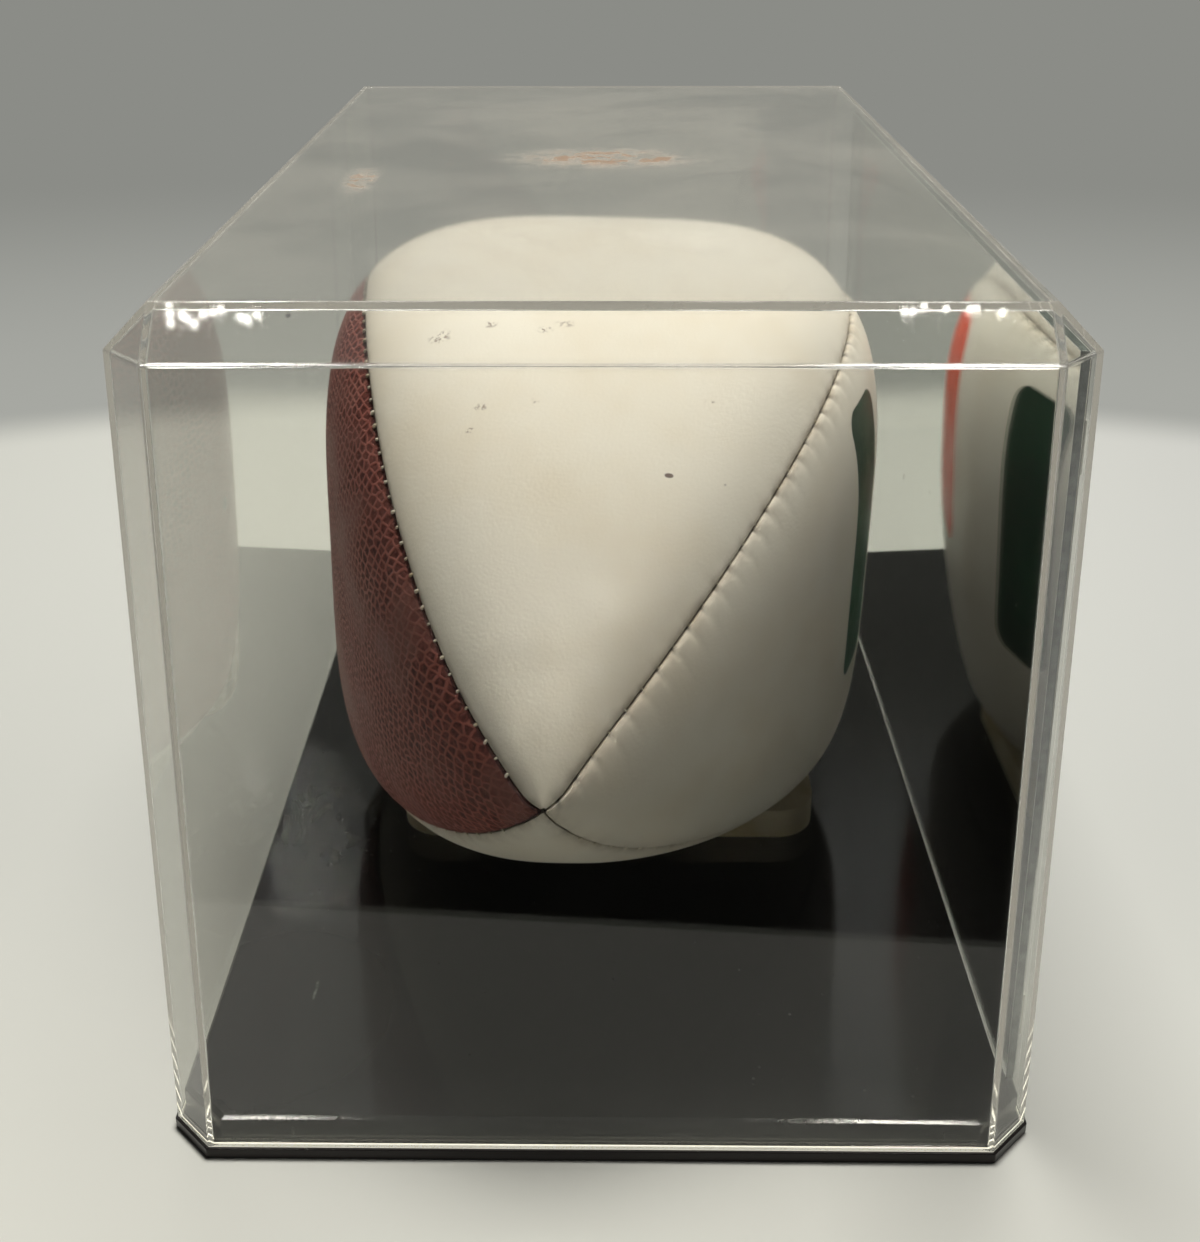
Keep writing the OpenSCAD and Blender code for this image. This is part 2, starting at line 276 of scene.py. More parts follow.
def barMask(flat, centre, halfSize, radius, edge):        # a bar with round ends on a flat map
    away = vectors("MULTIPLY", vectors("ABSOLUTE", vectors("SUBTRACT", flat, centre)), (1.0, 1.0, 0.0))
    corner = socketOf("ShaderNodeCombineXYZ", {0: radius, 1: radius})
    past = vectors("SUBTRACT", away, vectors("SUBTRACT", halfSize, corner))
    reach = vectors("LENGTH", vectors("MAXIMUM", past, (0.0, 0.0, 0.0)), result=1)
    return maths("SUBTRACT", 0.5, maths("DIVIDE", maths("SUBTRACT", reach, radius), edge), clamp=True)


def shaderGroup(name, build, label, *numbers):
    inputs = [("Map" if build is barMask else "Place", "Vector", None), *numbers]
    return makeGroup(name, "Shader", build, inputs, label, "Float")


smudges = shaderGroup("smudges", smudgeMask, "Mask", ("Scale", "Float", 20.0), ("Coverage", "Float", 0.4),
                      ("Softness", "Float", 0.12), ("Break up", "Float", 0.5))
hairScratches = shaderGroup("hairScratches", hairlineMask, "Mask", ("Scale", "Float", 9.0),
                            ("Width", "Float", 0.004), ("Turn", "Float", 0.4))
dustSpecks = shaderGroup("dustSpecks", speckMask, "Mask", ("Scale", "Float", 300.0),
                         ("Size", "Float", 0.16), ("Amount", "Float", 0.3))
leatherGrain = shaderGroup("leatherGrain", grainHeight, "Height", ("Cell", "Float", 0.0007),
                           ("Crease", "Float", 0.5))
roundBar = shaderGroup("roundBar", barMask, "Mask", ("Centre", "Vector", None),
                       ("Half size", "Vector", None), ("Radius", "Float", 0.006), ("Edge", "Float", 0.0003))
print("shared effects made")


# Mesh helpers

def addMesh(name, points, faces, materials=()):
    mesh = bpy.data.meshes.new(name)
    mesh.from_pydata([tuple(p) for p in points], [], faces)
    for material in materials:
        mesh.materials.append(material)
    return addObject(name, mesh)


def bakeModifiers(made):        # replaces the mesh by what its modifiers make of it
    graph = bpy.context.evaluated_depsgraph_get()
    finished = bpy.data.meshes.new_from_object(made.evaluated_get(graph))
    made.modifiers.clear()
    finished.name = made.name
    made.data = finished
    return made


def softEdgedCopy(name, node, width, segments, materials, sharpest=20.0, band=0.0):
    source = bmesh.new()
    source.from_mesh(frame["nodes"][node].data)
    bmesh.ops.remove_doubles(source, verts=source.verts, dist=0.001 * mm)
    bmesh.ops.dissolve_limit(source, angle_limit=math.radians(0.3), verts=source.verts, edges=source.edges)
    bmesh.ops.triangulate(source, faces=[face for face in source.faces if len(face.verts) > 8])
    mesh = bpy.data.meshes.new(name)
    source.to_mesh(mesh)
    source.free()
    mesh.materials.append(None)
    mesh.materials.append(None)
    made = addObject(name, mesh)
    soft = made.modifiers.new("softEdges", "BEVEL")
    soft.width = width
    soft.segments = segments
    soft.limit_method = "ANGLE"
    soft.angle_limit = math.radians(sharpest)
    soft.miter_outer = "MITER_ARC"
    soft.material = 1
    bakeModifiers(made)
    if band:
        addEdgeBands(made, band)
    return flattenFaces(made, materials)


def addEdgeBands(made, width):        # a rim round each pane, with an attribute that fades from its edge
    work = bmesh.new()
    work.from_mesh(made.data)
    closeness = work.verts.layers.float.new("edgeBand")
    for vertex in work.verts:
        vertex[closeness] = 1
    low = min(vertex.co.z for vertex in work.verts) + mm        # the foot has no rim
    panes = [face for face in work.faces if face.material_index == 0 and face.calc_area() > 20 * mm * mm]
    for pane in [face for face in panes if face.calc_center_median().z > low]:
        inward = min(width, 0.25 * math.sqrt(pane.calc_area()))
        bmesh.ops.inset_individual(work, faces=[pane], thickness=inward, use_even_offset=True)
        for vertex in pane.verts:
            vertex[closeness] = 0
    work.to_mesh(made.data)
    work.free()


def flattenFaces(made, materials):        # only the rounded edges between flat faces shade smoothly
    mesh = made.data
    mesh.shade_smooth()
    flat = [face.material_index == 0 for face in mesh.polygons]
    total = np.zeros((len(mesh.vertices), 3))
    for face in mesh.polygons:
        weight = face.area * (1e4 if flat[face.index] else 1)
        for vertex in face.vertices:
            total[vertex] += np.array(face.normal) * weight
    total /= np.linalg.norm(total, axis=1, keepdims=True)
    corners = np.zeros((len(mesh.loops), 3))
    for face in mesh.polygons:
        for corner, vertex in zip(face.loop_indices, face.vertices):
            corners[corner] = face.normal if flat[face.index] else total[vertex]
    mesh.normals_split_custom_set(corners.tolist())
    mesh.materials.clear()
    for material in materials:
        mesh.materials.append(material)
    for face in mesh.polygons:
        face.material_index = 0 if flat[face.index] else len(materials) - 1
    return made


# Clear cover

coverLook = {
    "edge": 0.6 * mm,          # rounding of every outer and inner edge
    "band": 1.6 * mm,          # the rim of each pane, where a pale film of painted light grows towards its edge
    # share of that film: painted light standing in for the brightness of the edges
    "bandShare": 0.05,
    "tint": paint(250, 250, 246),
    "shadowTint": (0.95, 0.95, 0.95, 1),
    "index": 1.49,
    "dustColour": paint(206, 202, 190),
    "stainColour": paint(140, 108, 80),
    "grit": paint(70, 70, 68),
    "dust": 0.079,             # share of the top that dust and fine wear turn whitish
    "sideDust": 0.003,
    "edgeWearAndLight": 0.13,          # share of a pale film on the rounded edges: partly wear, partly painted light
    "polish": 0.028,           # roughness of the clean plastic, and more where it is hazy or scratched
    "haze": 0.03,
    "scratch": 0.05,
    "stain": 0.55,
    "topFrom": (0.2095, 0.2098),        # the height at which the top begins, metres
    "cutFoot": paint(238, 235, 218),
    "footGlow": 0.9,           # painted glow on the foot, for light led down the walls that leaves at their foot
    "footHeight": 0.8 * mm,
    "glow": paint(156, 152, 140),        # painted glow, for light led along inside the walls
    "trapped": 4.5,            # reflections after which a ray counts as led along
    "nearby": 3.5,             # and it glows only where it has passed fewer faces than this
}

coverStains = (        # centre and reach of the dried smears on the top, metres
    ((0.0, 0.003, 0.21), (0.032, 0.018, 0.004)),
    ((-0.0655, -0.028, 0.21), (0.0055, 0.022, 0.004)),
    ((0.012, 0.001, 0.21), (0.018, 0.009, 0.004)),
)

coverGrit = (((-0.0618, -0.1544, 0.2076), (0.0007, 0.0007, 0.0007)),)        # on the front bevel


def letLampsThrough(surface):        # clear plastic that lights what stands behind it
    look, paths = coverLook, lightPath()
    lamps = most(paths["Is Shadow Ray"], paths["Is Diffuse Ray"])
    mixed = mixShaders(lamps, surface, addNode("ShaderNodeBsdfTransparent", {"Color": look["shadowTint"]}))
    # a ray reflected many times inside the plastic sees a painted glow, or black where it has passed many
    # faces
    nearby = maths("LESS_THAN", paths["Transmission Depth"], look["nearby"])
    trapped = maths("GREATER_THAN", paths["Glossy Depth"], look["trapped"])
    setSurface(mixShaders(trapped, mixed, glowing(look["glow"], nearby)))


def spots(place, ovals):        # soft oval mask around each point
    masks = []
    for centre, size in ovals:
        away = vectors("DIVIDE", vectors("SUBTRACT", place, centre), size)
        masks.append(remap(vectors("LENGTH", away, result=1), 0.3, 1.1, 1.0, 0.0))
    return most(*masks)


def coverWith(shader, share, colour, rough=0.5):        # part of the clear surface hidden by a pale film
    film = addNode("ShaderNodeBsdfPrincipled", {"Base Color": colour, "Roughness": rough})
    return mixShaders(share, shader, film)


def makeSawnFace(name, scale, **values):        # teeth of the saw run up the sheet
    material, shader, place = newMaterial(name, **values)
    teeth = vectors("MULTIPLY", place, (1.0, 1.0, 0.1))
    addBump(shader, noiseAt(teeth, scale, 2.0), 0.5, 0.1 * mm)
    return material


def mottled(name, roughness, first, second, patches, grain=None):        # two tones over a fine grain
    material, shader, place = newMaterial(name, Roughness=roughness)
    scale, detail, low, high = patches
    setInputs(shader, Base_Color=mixColours(remap(noiseAt(place, scale, detail), low, high), first, second))
    if grain:
        scale, detail, strength, height = grain
        addBump(shader, noiseAt(place, scale, detail), strength, height)
    return material


def makeAcrylic(look):
    material, shader, place = newMaterial("clearAcrylic", IOR=look["index"], Transmission_Weight=1.0,
                                          Base_Color=look["tint"])
    onTop = remap(axes(place)[2], *look["topFrom"], smooth=False)
    haze = useGroup(smudges, Place=place, Scale=13.0, Coverage=0.55, Softness=0.3, Break_up=0.5)
    lines = useGroup(hairScratches, Place=place, Scale=5.0, Width=0.0016)
    rough = most(times(haze, look["haze"]), times(lines, look["scratch"]), look["polish"])
    setInputs(shader, Roughness=rough)
    flakes = remap(noiseAt(place, 170.0, 5.0, 0.7), 0.4, 0.58)
    stain = times(spots(place, coverStains), flakes)
    clouds = remap(noiseAt(place, 14.0, 5.0, 0.65, 0.6), 0.35, 0.7, 0.4, 1.4)
    layer = plus(look["sideDust"], times(onTop, look["dust"]))
    dust = plus(times(layer, clouds), times(stain, look["stain"]))
    grit = remap(spots(place, coverGrit), 0.2, 0.5)
    # the rim's pale film is painted light; dust, stains and grit are the cover's own
    band = maths("POWER", readAttribute("edgeBand"), 1.6)
    share = most(dust, times(band, look["bandShare"]), times(grit, 0.8))
    colour = mixColours(grit, mixColours(stain, look["dustColour"], look["stainColour"]), look["grit"])
    letLampsThrough(coverWith(shader, share, colour))
    return material


def makeEdgeWearAndLight(look):
    material, shader, place = newMaterial("wornAcrylicEdge", IOR=look["index"], Transmission_Weight=1.0)
    patches = remap(noiseAt(place, 60.0, 4.0, 0.6), 0.3, 0.7)
    # pale film on the rounded edges: partly wear, partly painted light
    pale = mixColours(patches, paint(222, 217, 202), paint(240, 237, 226))
    setInputs(shader, Roughness=remap(patches, 0.0, 1.0, 0.05, 0.16))
    share = remap(patches, 0.0, 1.0, 0.3 * look["edgeWearAndLight"], 1.7 * look["edgeWearAndLight"])
    letLampsThrough(coverWith(shader, share, pale, 0.3))
    return material


def makeCover(look):
    # the sawn foot is pale, and glows with painted light
    foot = makeSawnFace("cutFoot", 2200.0, Roughness=0.6, Base_Color=look["cutFoot"],
                        Emission_Color=look["cutFoot"], Emission_Strength=look["footGlow"])
    finish = [makeAcrylic(look), foot, makeEdgeWearAndLight(look)]
    cover = softEdgedCopy("clearCover", "clear_cover", look["edge"], 3, finish, band=look["band"])
    footTop = min(vertex.co.z for vertex in cover.data.vertices) + look["footHeight"]
    for face in cover.data.polygons:
        if face.center.z < footTop:        # the foot and its edges, left as cut
            face.material_index = 1
    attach(cover, "cover")
    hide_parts("clear_cover")


makeCover(coverLook)
print("clear cover made")


# Black base

baseLook = {
    "edge": 0.25 * mm,
    "black": paint(9, 9, 10),
    "film": paint(98, 98, 94),         # dust lying on the black
    "filmShare": 0.024,
    "smears": 0.35,
    "haze": 0.12,
    "specks": 0.25,
    "chalkAndHighlight": 0.8,
    "roughness": 0.1,
    "dullRoughness": 0.26,
    "rimColour": paint(26, 14, 12),    # reddish dark tone on the flange edge
    "rimHeight": (2.6 * mm, 3.2 * mm),
}

baseSmears = (        # wiped dust beside the ball, metres
    ((-0.092, -0.036, 0.0106), (0.016, 0.03, 0.004)),
    ((-0.08, -0.055, 0.0106), (0.01, 0.012, 0.004)),
)

baseHaze = (((-0.085, -0.12, 0.0106), (0.06, 0.07, 0.01)),)        # thin dust, front left

chalkMarksAndEdgeHighlights = (        # small chalky marks and a scratch near the front, and two painted highlights along the platform's front edge
    ((-0.0745, -0.1665, 0.006), (0.0006, 0.004, 0.0022)),
    ((0.083, -0.1665, 0.006), (0.0006, 0.004, 0.0026)),
    ((0.0905, -0.1665, 0.0045), (0.0012, 0.004, 0.0012)),
    ((-0.0765, -0.1185, 0.0106), (0.0006, 0.0055, 0.002)),
    # painted highlights: two pale lines along the platform's front edge
    ((-0.078, -0.1637, 0.0102), (0.0125, 0.0012, 0.0009)),
    ((0.055, -0.1637, 0.0102), (0.014, 0.0012, 0.0009)),
)


def makeBaseMaterial(look):
    material, shader, place = newMaterial("glossyBlack", IOR=1.5, Specular_IOR_Level=0.34)
    film = useGroup(smudges, Place=place, Scale=14.0, Coverage=0.5, Softness=0.3, Break_up=0.7)
    streaked = vectors("MULTIPLY", place, (1.0, 0.4, 1.0))
    wiped = remap(noiseAt(streaked, 110.0, 4.0, 0.65, 1.5), 0.42, 0.66)
    smears = times(spots(place, baseSmears), wiped)
    specks = useGroup(dustSpecks, Place=place, Scale=520.0, Amount=0.1, Size=0.22)
    # chalky marks, and the two pale lines that are painted highlights
    chalkAndHighlight = times(spots(place, chalkMarksAndEdgeHighlights), remap(noiseAt(place, 900.0, 3.0), 0.35, 0.6))
    share = plus(times(film, look["filmShare"]), times(smears, look["smears"]),
                 times(spots(place, baseHaze), look["haze"]), times(specks, look["specks"]))
    share = maths("ADD", share, times(chalkAndHighlight, look["chalkAndHighlight"]), clamp=True)
    rim = remap(axes(place)[2], *look["rimHeight"], 1.0, 0.0)
    colour = mixColours(rim, mixColours(share, look["black"], look["film"]), look["rimColour"])
    dull = most(times(film, 0.7), smears)
    rough = remap(dull, 0.0, 1.0, look["roughness"], look["dullRoughness"], smooth=False)
    setInputs(shader, Base_Color=colour, Roughness=rough)
    addBump(shader, noiseAt(place, 45.0, 2.0), 0.06, 0.4 * mm)
    return material


def makeBase(look):
    base = softEdgedCopy("baseTray", "base_tray", look["edge"], 2, [makeBaseMaterial(look)])
    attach(base, "base")
    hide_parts("base_tray")


makeBase(baseLook)
print("base made")


# Cradle under the ball

cradleLook = {
    "edge": 0.9 * mm,
    "cream": paint(206, 196, 166),
    "yellowed": paint(178, 160, 118),
}


def makeCradle(look):
    plastic = mottled("creamPlastic", 0.5, look["cream"], look["yellowed"], (55.0, 4.0, 0.35, 0.7),
                      (1400.0, 3.0, 0.35, 0.1 * mm))
    cradle = softEdgedCopy("ballCradle", "ball_cradle", look["edge"], 3, [plastic], 35.0)
    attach(cradle, "base")
    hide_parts("ball_cradle")


makeCradle(cradleLook)
print("cradle made")


# Mirror: clear sheet, silvered coat on its back, and the tapes that hold it

mirrorLook = {
    "edge": 0.2 * mm,
    "backGap": 0.05 * mm,        # air between the sheet and its silver
    "silver": (0.86, 0.88, 0.86, 1),
    "backPaint": paint(56, 60, 56),
    "throws": (0.05, 0.46),      # painted light that the silvered face gives off towards the ball, low down and high up, for the room light it throws
    "upTheSheet": (0.07, 0.2),
    "alongIt": (-0.1, 0.07, 0.4, 2.2),        # from 0.4 of that in front to 2.2 of it behind
    "clear": ((0.97, 0.985, 0.97, 1), (0.93, 0.94, 0.93, 1)),        # clean, and smeared
    "sawn": paint(238, 240, 232),
    "end": (paint(46, 56, 52), paint(84, 94, 88)),        # its polished ends show its own depth
    "turned": 0.6,               # a face whose normal leans this far is an end or a sawn edge
}


def makeMirrorSheet(look):
    clear, shader, place = newMaterial("mirrorAcrylic", IOR=coverLook["index"], Transmission_Weight=1.0)
    smears = useGroup(smudges, Place=place, Scale=22.0, Coverage=0.3, Break_up=0.8)
    setInputs(shader, Roughness=times(smears, 0.07), Base_Color=mixColours(smears, *look["clear"]))
    letLampsThrough(shader)
    sawn = makeSawnFace("sawnEdge", 2600.0, Roughness=0.7, Base_Color=look["sawn"])
    end = mottled("mirrorEnd", 0.2, *look["end"], (300.0, 3.0, 0.35, 0.65))
    sheet = softEdgedCopy("mirrorSheet", "mirror_sheet", look["edge"], 2, [clear, end, sawn]).data
    for face in sheet.polygons:
        if face.normal.z < -look["turned"]:
            face.material_index = 2
        elif max(face.normal.z, abs(face.normal.y)) > look["turned"]:
            face.material_index = 1
    lean = max(sheet.polygons, key=lambda face: face.area).normal
    lean = lean if lean.x < 0 else -lean
    x, _, z = (sum(values) / len(sheet.vertices) for values in zip(*(v.co for v in sheet.vertices)))
    for vertex in sheet.vertices:
        if (vertex.co - Vector((x, 0, z))).dot(lean) < 0:
            vertex.co += lean * look["backGap"]
    sheet = bpy.data.objects["mirrorSheet"]
    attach(sheet, "cover")
    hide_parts("mirror_sheet")


def makeMirrorCoat(look):
    material, shader, place = newMaterial("silverCoat")
    outward = axes(addNode("ShaderNodeNewGeometry").outputs["Normal"])[0]
    painted = maths("GREATER_THAN", outward, 0.5)
    worn = most(painted, useGroup(dustSpecks, Place=place, Scale=130.0, Size=0.14, Amount=0.1))
    setInputs(shader, Base_Color=mixColours(worn, look["silver"], look["backPaint"]),
              Metallic=maths("SUBTRACT", 1.0, worn),
              Roughness=remap(worn, 0.0, 1.0, 0.0, 0.55, smooth=False))
    along, height = axes(place)[1:3]
    # painted light: for rays from the ball the silvered face glows instead of reflecting
    strength = times(remap(height, *look["upTheSheet"], *look["throws"]), remap(along, *look["alongIt"]))
    toBall = times(maths("SUBTRACT", 1.0, painted), lightPath()["Is Diffuse Ray"])
    setSurface(mixShaders(toBall, shader, glowing((1.0, 0.97, 0.9, 1), strength)))
    return material


def makeTapeMaterial():
    material, shader, place = newMaterial("foamTape", Roughness=0.75)
    cells = noiseAt(place, 1800.0, 3.0)
    setInputs(shader, Base_Color=mixColours(cells, paint(226, 224, 214), paint(204, 200, 186)))
    addBump(shader, cells, 0.4, 0.1 * mm)
    return material


def setMaterial(node, material):
    slots = frame["nodes"][node].data.materials
    slots.clear()
    slots.append(material)


makeMirrorSheet(mirrorLook)
setMaterial("mirror_coat", makeMirrorCoat(mirrorLook))
setMaterial("mirror_tapes", makeTapeMaterial())
print("mirror made")


# The football's skin: the same form as the frame's, with its seams, puckers and dents

ball = {
    "place": (-0.5 * mm, -7.5 * mm, 105.1 * mm),
    "halfWidth": 83 * mm,
    "halfLength": 140 * mm,
    "topHeight": 85.6 * mm,
    "bottomHeight": 89 * mm,
    "topSquare": 3.6,
    "bottomSquare": 4.8,
    "noseSquare": 1.8,
    "roll": math.radians(-1.1),
    "frontBend": (-12.7 * mm, -17.4 * mm),      # sideways and up, at the front nose
    "backBend": (26 * mm, -10 * mm),
    "taperShape": 1.62,
    "taperPower": (0.65, 0.45),                 # front and back
    "seamMiddle": (40, 135, 222, 318),          # degrees from the ball's right side
    "seamNose": (42.5, 147, 227, 297),
    "tongue": 26,                               # degrees by which the top panel's tip is blunted
    "tongueReach": 0.012,
    "leather": 2.2 * mm,
    "seamGap": 0.4 * mm,
    "valveHole": (2.9 * mm, 12 * mm),           # its radius, and the length of the cutter
}


def skinPoints(s, angle, inset):        # s runs from -1 at the front nose to 1 at the back
    front = s < 0
    power = np.where(front, ball["taperPower"][0], ball["taperPower"][1])
    taper = np.clip(1 - np.abs(s) ** ball["taperShape"], 0, 1) ** power
    turn = angle - ball["roll"]
    under = 1 / (1 + np.exp(6 * np.sin(turn)))
    middle = ball["topSquare"] + (ball["bottomSquare"] - ball["topSquare"]) * under
    square = middle * (1 - s * s) + ball["noseSquare"] * s * s
    reach = (np.abs(np.cos(turn)) ** square + np.abs(np.sin(turn)) ** square) ** (-1 / square)
    height = np.where(np.sin(turn) > 0, ball["topHeight"], ball["bottomHeight"])
    x = (ball["halfWidth"] - inset) * reach * taper * np.cos(turn)
    z = (height - inset) * reach * taper * np.sin(turn)
    sideways = np.where(front, ball["frontBend"][0], ball["backBend"][0]) * s * s
    upwards = np.where(front, ball["frontBend"][1], ball["backBend"][1]) * s * s
    c, d = math.cos(ball["roll"]), math.sin(ball["roll"])
    px, py, pz = ball["place"]
    return np.stack([px + sideways + x * c - z * d,
                     py + (ball["halfLength"] - inset) * s,
                     pz + upwards + x * d + z * c], -1)


def seamAngles(k, s):        # seam 4 is seam 0 after one turn
    middle, nose = ball["seamMiddle"][k % 4], ball["seamNose"][k % 4]
    share = np.where(s < 0, s * s, 0)
    blunt = {0: -1, 1: 1}.get(k % 4, 0) * ball["tongue"] * np.exp(-(1 + s) / ball["tongueReach"])
    return np.radians(middle + (nose - middle) * share + blunt + 360 * (k // 4))


def along(points, axis):        # running length through a grid of points
    steps = np.linalg.norm(np.diff(points, axis=axis), axis=-1)
    first = np.zeros_like(np.take(steps, [0], axis))
    return np.concatenate([first, np.cumsum(steps, axis)], axis)


def sewnEdge(bend, roll, valley, dip, pucker, mark=0.25, pitch=6.5):        # mm, but for the mark
    return {"round": bend * mm, "roll": roll * mm, "valley": valley * mm, "dip": dip * mm,
            "pucker": pucker * mm, "mark": mark, "pitch": pitch * mm}


panels = {        # each with its edge at the lower seam number first
    "topPanel": {
        "node": "top_panel", "seam": 0, "slot": "cream_leather",
        "edges": (sewnEdge(2.0, 1.5, 10.0, 1.5, 0.35), sewnEdge(1.8, 1.5, 3.5, 0.3, 0.1, 0.1, 4.6)),
    },
    "leftPanel": {
        "node": "left_panel", "seam": 1, "slot": "brown_leather",
        "edges": (sewnEdge(1.6, 1.2, 3.0, 0.4, 1.3, 0.3, 4.6), sewnEdge(1.8, 1.5, 4.0, 0.5, 0.4)),
    },
    "bottomPanel": {
        "node": "bottom_panel", "seam": 2, "slot": "cream_leather",
        "edges": (sewnEdge(1.8, 1.5, 4.0, 0.5, 0.4), sewnEdge(1.8, 1.5, 8.0, 0.9, 0.4)),
    },
    "rightPanel": {
        "node": "right_panel", "seam": 3, "slot": "cream_leather",
        "edges": (sewnEdge(1.8, 1.5, 6.0, 0.6, 0.4), sewnEdge(1.5, 1.2, 2.2, 0.3, 1.3, 1.0)),
    },
}

panelMesh = {
    "rings": 480,
    "strips": 60,
    "ends": (-0.9996, 0.99997),        # the skin closes just short of its two noses
    "tugReach": 2.2 * mm,
    "markReach": 0.9 * mm,
    "fullWidth": 16 * mm,      # a narrower panel sinks less
    "puckerWidth": 0.9 * mm,
    "deepest": 2.05 * mm,      # an edge never sinks to the lining
}

dents = (        # s, degrees, reach in mm and depth in mm of slack places
    (-0.93, 75, 16, 1.3),
    (-0.55, 60, 34, 0.6),
    (-0.35, 100, 40, 0.5),
    (-0.5, 0, 36, 0.6),
    (-0.75, 330, 22, 0.8),
    (-0.3, 180, 40, 0.5),
    (0.3, 80, 45, 0.8),
    (0.6, 20, 30, 0.8),
    (0.5, 200, 38, 0.7),
)


def bell(away, reach):
    return np.exp(-(away / reach) ** 2)


def stitchPhase(path, edge):        # how far along the edge the nearest stitch is
    return ((path / edge["pitch"]) % 1 - 0.5) * edge["pitch"]


def edgeDepth(away, path, edge, mesh):        # how far the outer face sinks near a sewn edge
    bend = np.clip(away / edge["round"], 0, 1)
    rolled = edge["roll"] * (1 - np.sqrt(1 - (1 - bend) ** 2))
    tug = bell(stitchPhase(path, edge), mesh["puckerWidth"]) * edge["pucker"]
    return rolled + edge["dip"] * bell(away, edge["valley"]) + tug * np.exp(-away / mesh["tugReach"])


def edgeMark(away, path, edge, mesh):        # where a stitch pulls a notch into the edge, darkened there with painted shade
    tug = bell(stitchPhase(path, edge), 0.75 * mesh["puckerWidth"])
    return edge["mark"] * tug * np.exp(-away / mesh["markReach"])


def dentDepth(points):
    depth = np.zeros(points.shape[:-1])
    for s, degrees, reach, deep in dents:
        centre = skinPoints(np.array(s), np.array(math.radians(degrees)), 0)
        away = np.linalg.norm(points - centre, axis=-1)
        depth += deep * mm * bell(away, reach * mm)
    return depth


def panelRows(mesh):
    rows = -np.cos(np.linspace(0, math.pi, mesh["rings"] + 1))
    return np.clip(rows, *mesh["ends"])


def panelObject(name, look, mesh, materials):
    rows, cols = mesh["rings"] + 1, mesh["strips"] + 1
    s = np.repeat(panelRows(mesh)[:, None], cols, 1)
    share = (1 - np.cos(np.linspace(0, math.pi, cols))) / 2
    first, last = seamAngles(look["seam"], s), seamAngles(look["seam"] + 1, s)
    across = along(skinPoints(s, first + (last - first) * share, 0), 1)
    half = np.clip(ball["seamGap"] / 2 / np.maximum(across[:, -1:], 1e-5), 0, 0.3)
    angle = first + (last - first) * (half + share * (1 - 2 * half))
    flat = skinPoints(s, angle, 0)
    across = along(flat, 1)
    width = across[:, -1:]
    lengths = along(flat, 0)
    depth = np.zeros_like(across)
    notch = np.zeros_like(across)
    for edge, away, column in zip(look["edges"], (across, width - across), (0, -1)):
        depth += edgeDepth(away, lengths[:, column:][:, :1], edge, mesh)
        notch += edgeMark(away, lengths[:, column:][:, :1], edge, mesh)
    depth = depth * np.clip(width / mesh["fullWidth"], 0.05, 1) + dentDepth(flat)
    depth = mesh["deepest"] * (1 - np.exp(-depth / mesh["deepest"]))
    outer = skinPoints(s, angle, depth)
    inner = skinPoints(s, angle, ball["leather"])
    count = rows * cols
    grid = np.arange(count).reshape(rows, cols)
    a, b = grid[:-1, :-1].ravel(), grid[:-1, 1:].ravel()
    c, d = grid[1:, 1:].ravel(), grid[1:, :-1].ravel()
    faces = np.concatenate([np.stack([a, d, c, b], 1), count + np.stack([a, b, c, d], 1)])
    rim = np.concatenate([grid[0, :-1], grid[:-1, -1], grid[-1, :0:-1], grid[:0:-1, 0]])
    after = np.roll(rim, -1)
    faces = np.concatenate([faces, np.stack([rim, after, count + after, count + rim], 1)])
    points = np.concatenate([outer.reshape(-1, 3), inner.reshape(-1, 3)])
    made = addMesh(name, points, faces.tolist(), materials)
    made.data.shade_smooth()
    centre = lengths[:, cols // 2][:, None]
    middle = np.interp(0, s[:, 0], centre[:, 0])
    uv = np.stack([np.repeat(centre - middle, cols, 1), across - width / 2], -1).reshape(-1, 2)
    layer = made.data.uv_layers.new(name="leatherMap")
    corners = np.zeros(len(made.data.loops), np.int32)
    made.data.loops.foreach_get("vertex_index", corners)
    layer.data.foreach_set("uv", np.concatenate([uv, uv])[corners].astype(np.float32).ravel())
    nearSeam = np.exp(-np.minimum(across, width - across) / (3 * mm)).ravel()
    for label, values in (("nearSeam", nearSeam), ("notch", notch.ravel())):
        attribute = made.data.attributes.new(label, "FLOAT", "POINT")
        attribute.data.foreach_set("value", np.concatenate([values, values]).astype(np.float32))
    return made


creamLook = {
    "cream": paint(235, 230, 216),
    "aged": paint(220, 208, 184),
    "seamDirt": paint(118, 98, 70),
    "stitchShade": paint(44, 36, 28),
    "grain": 0.75 * mm,
    "roughness": 0.44,
}

printLook = {
    "green": paint(12, 46, 30),
    "orange": paint(232, 76, 24),
    "bars": (        # colour, centre along and across the panel, half length and half width, radius, in mm
        ("green", (-38, 13), (12, 41), 6),
        ("orange", (52, 16), (26, 38), 8),
    ),
}

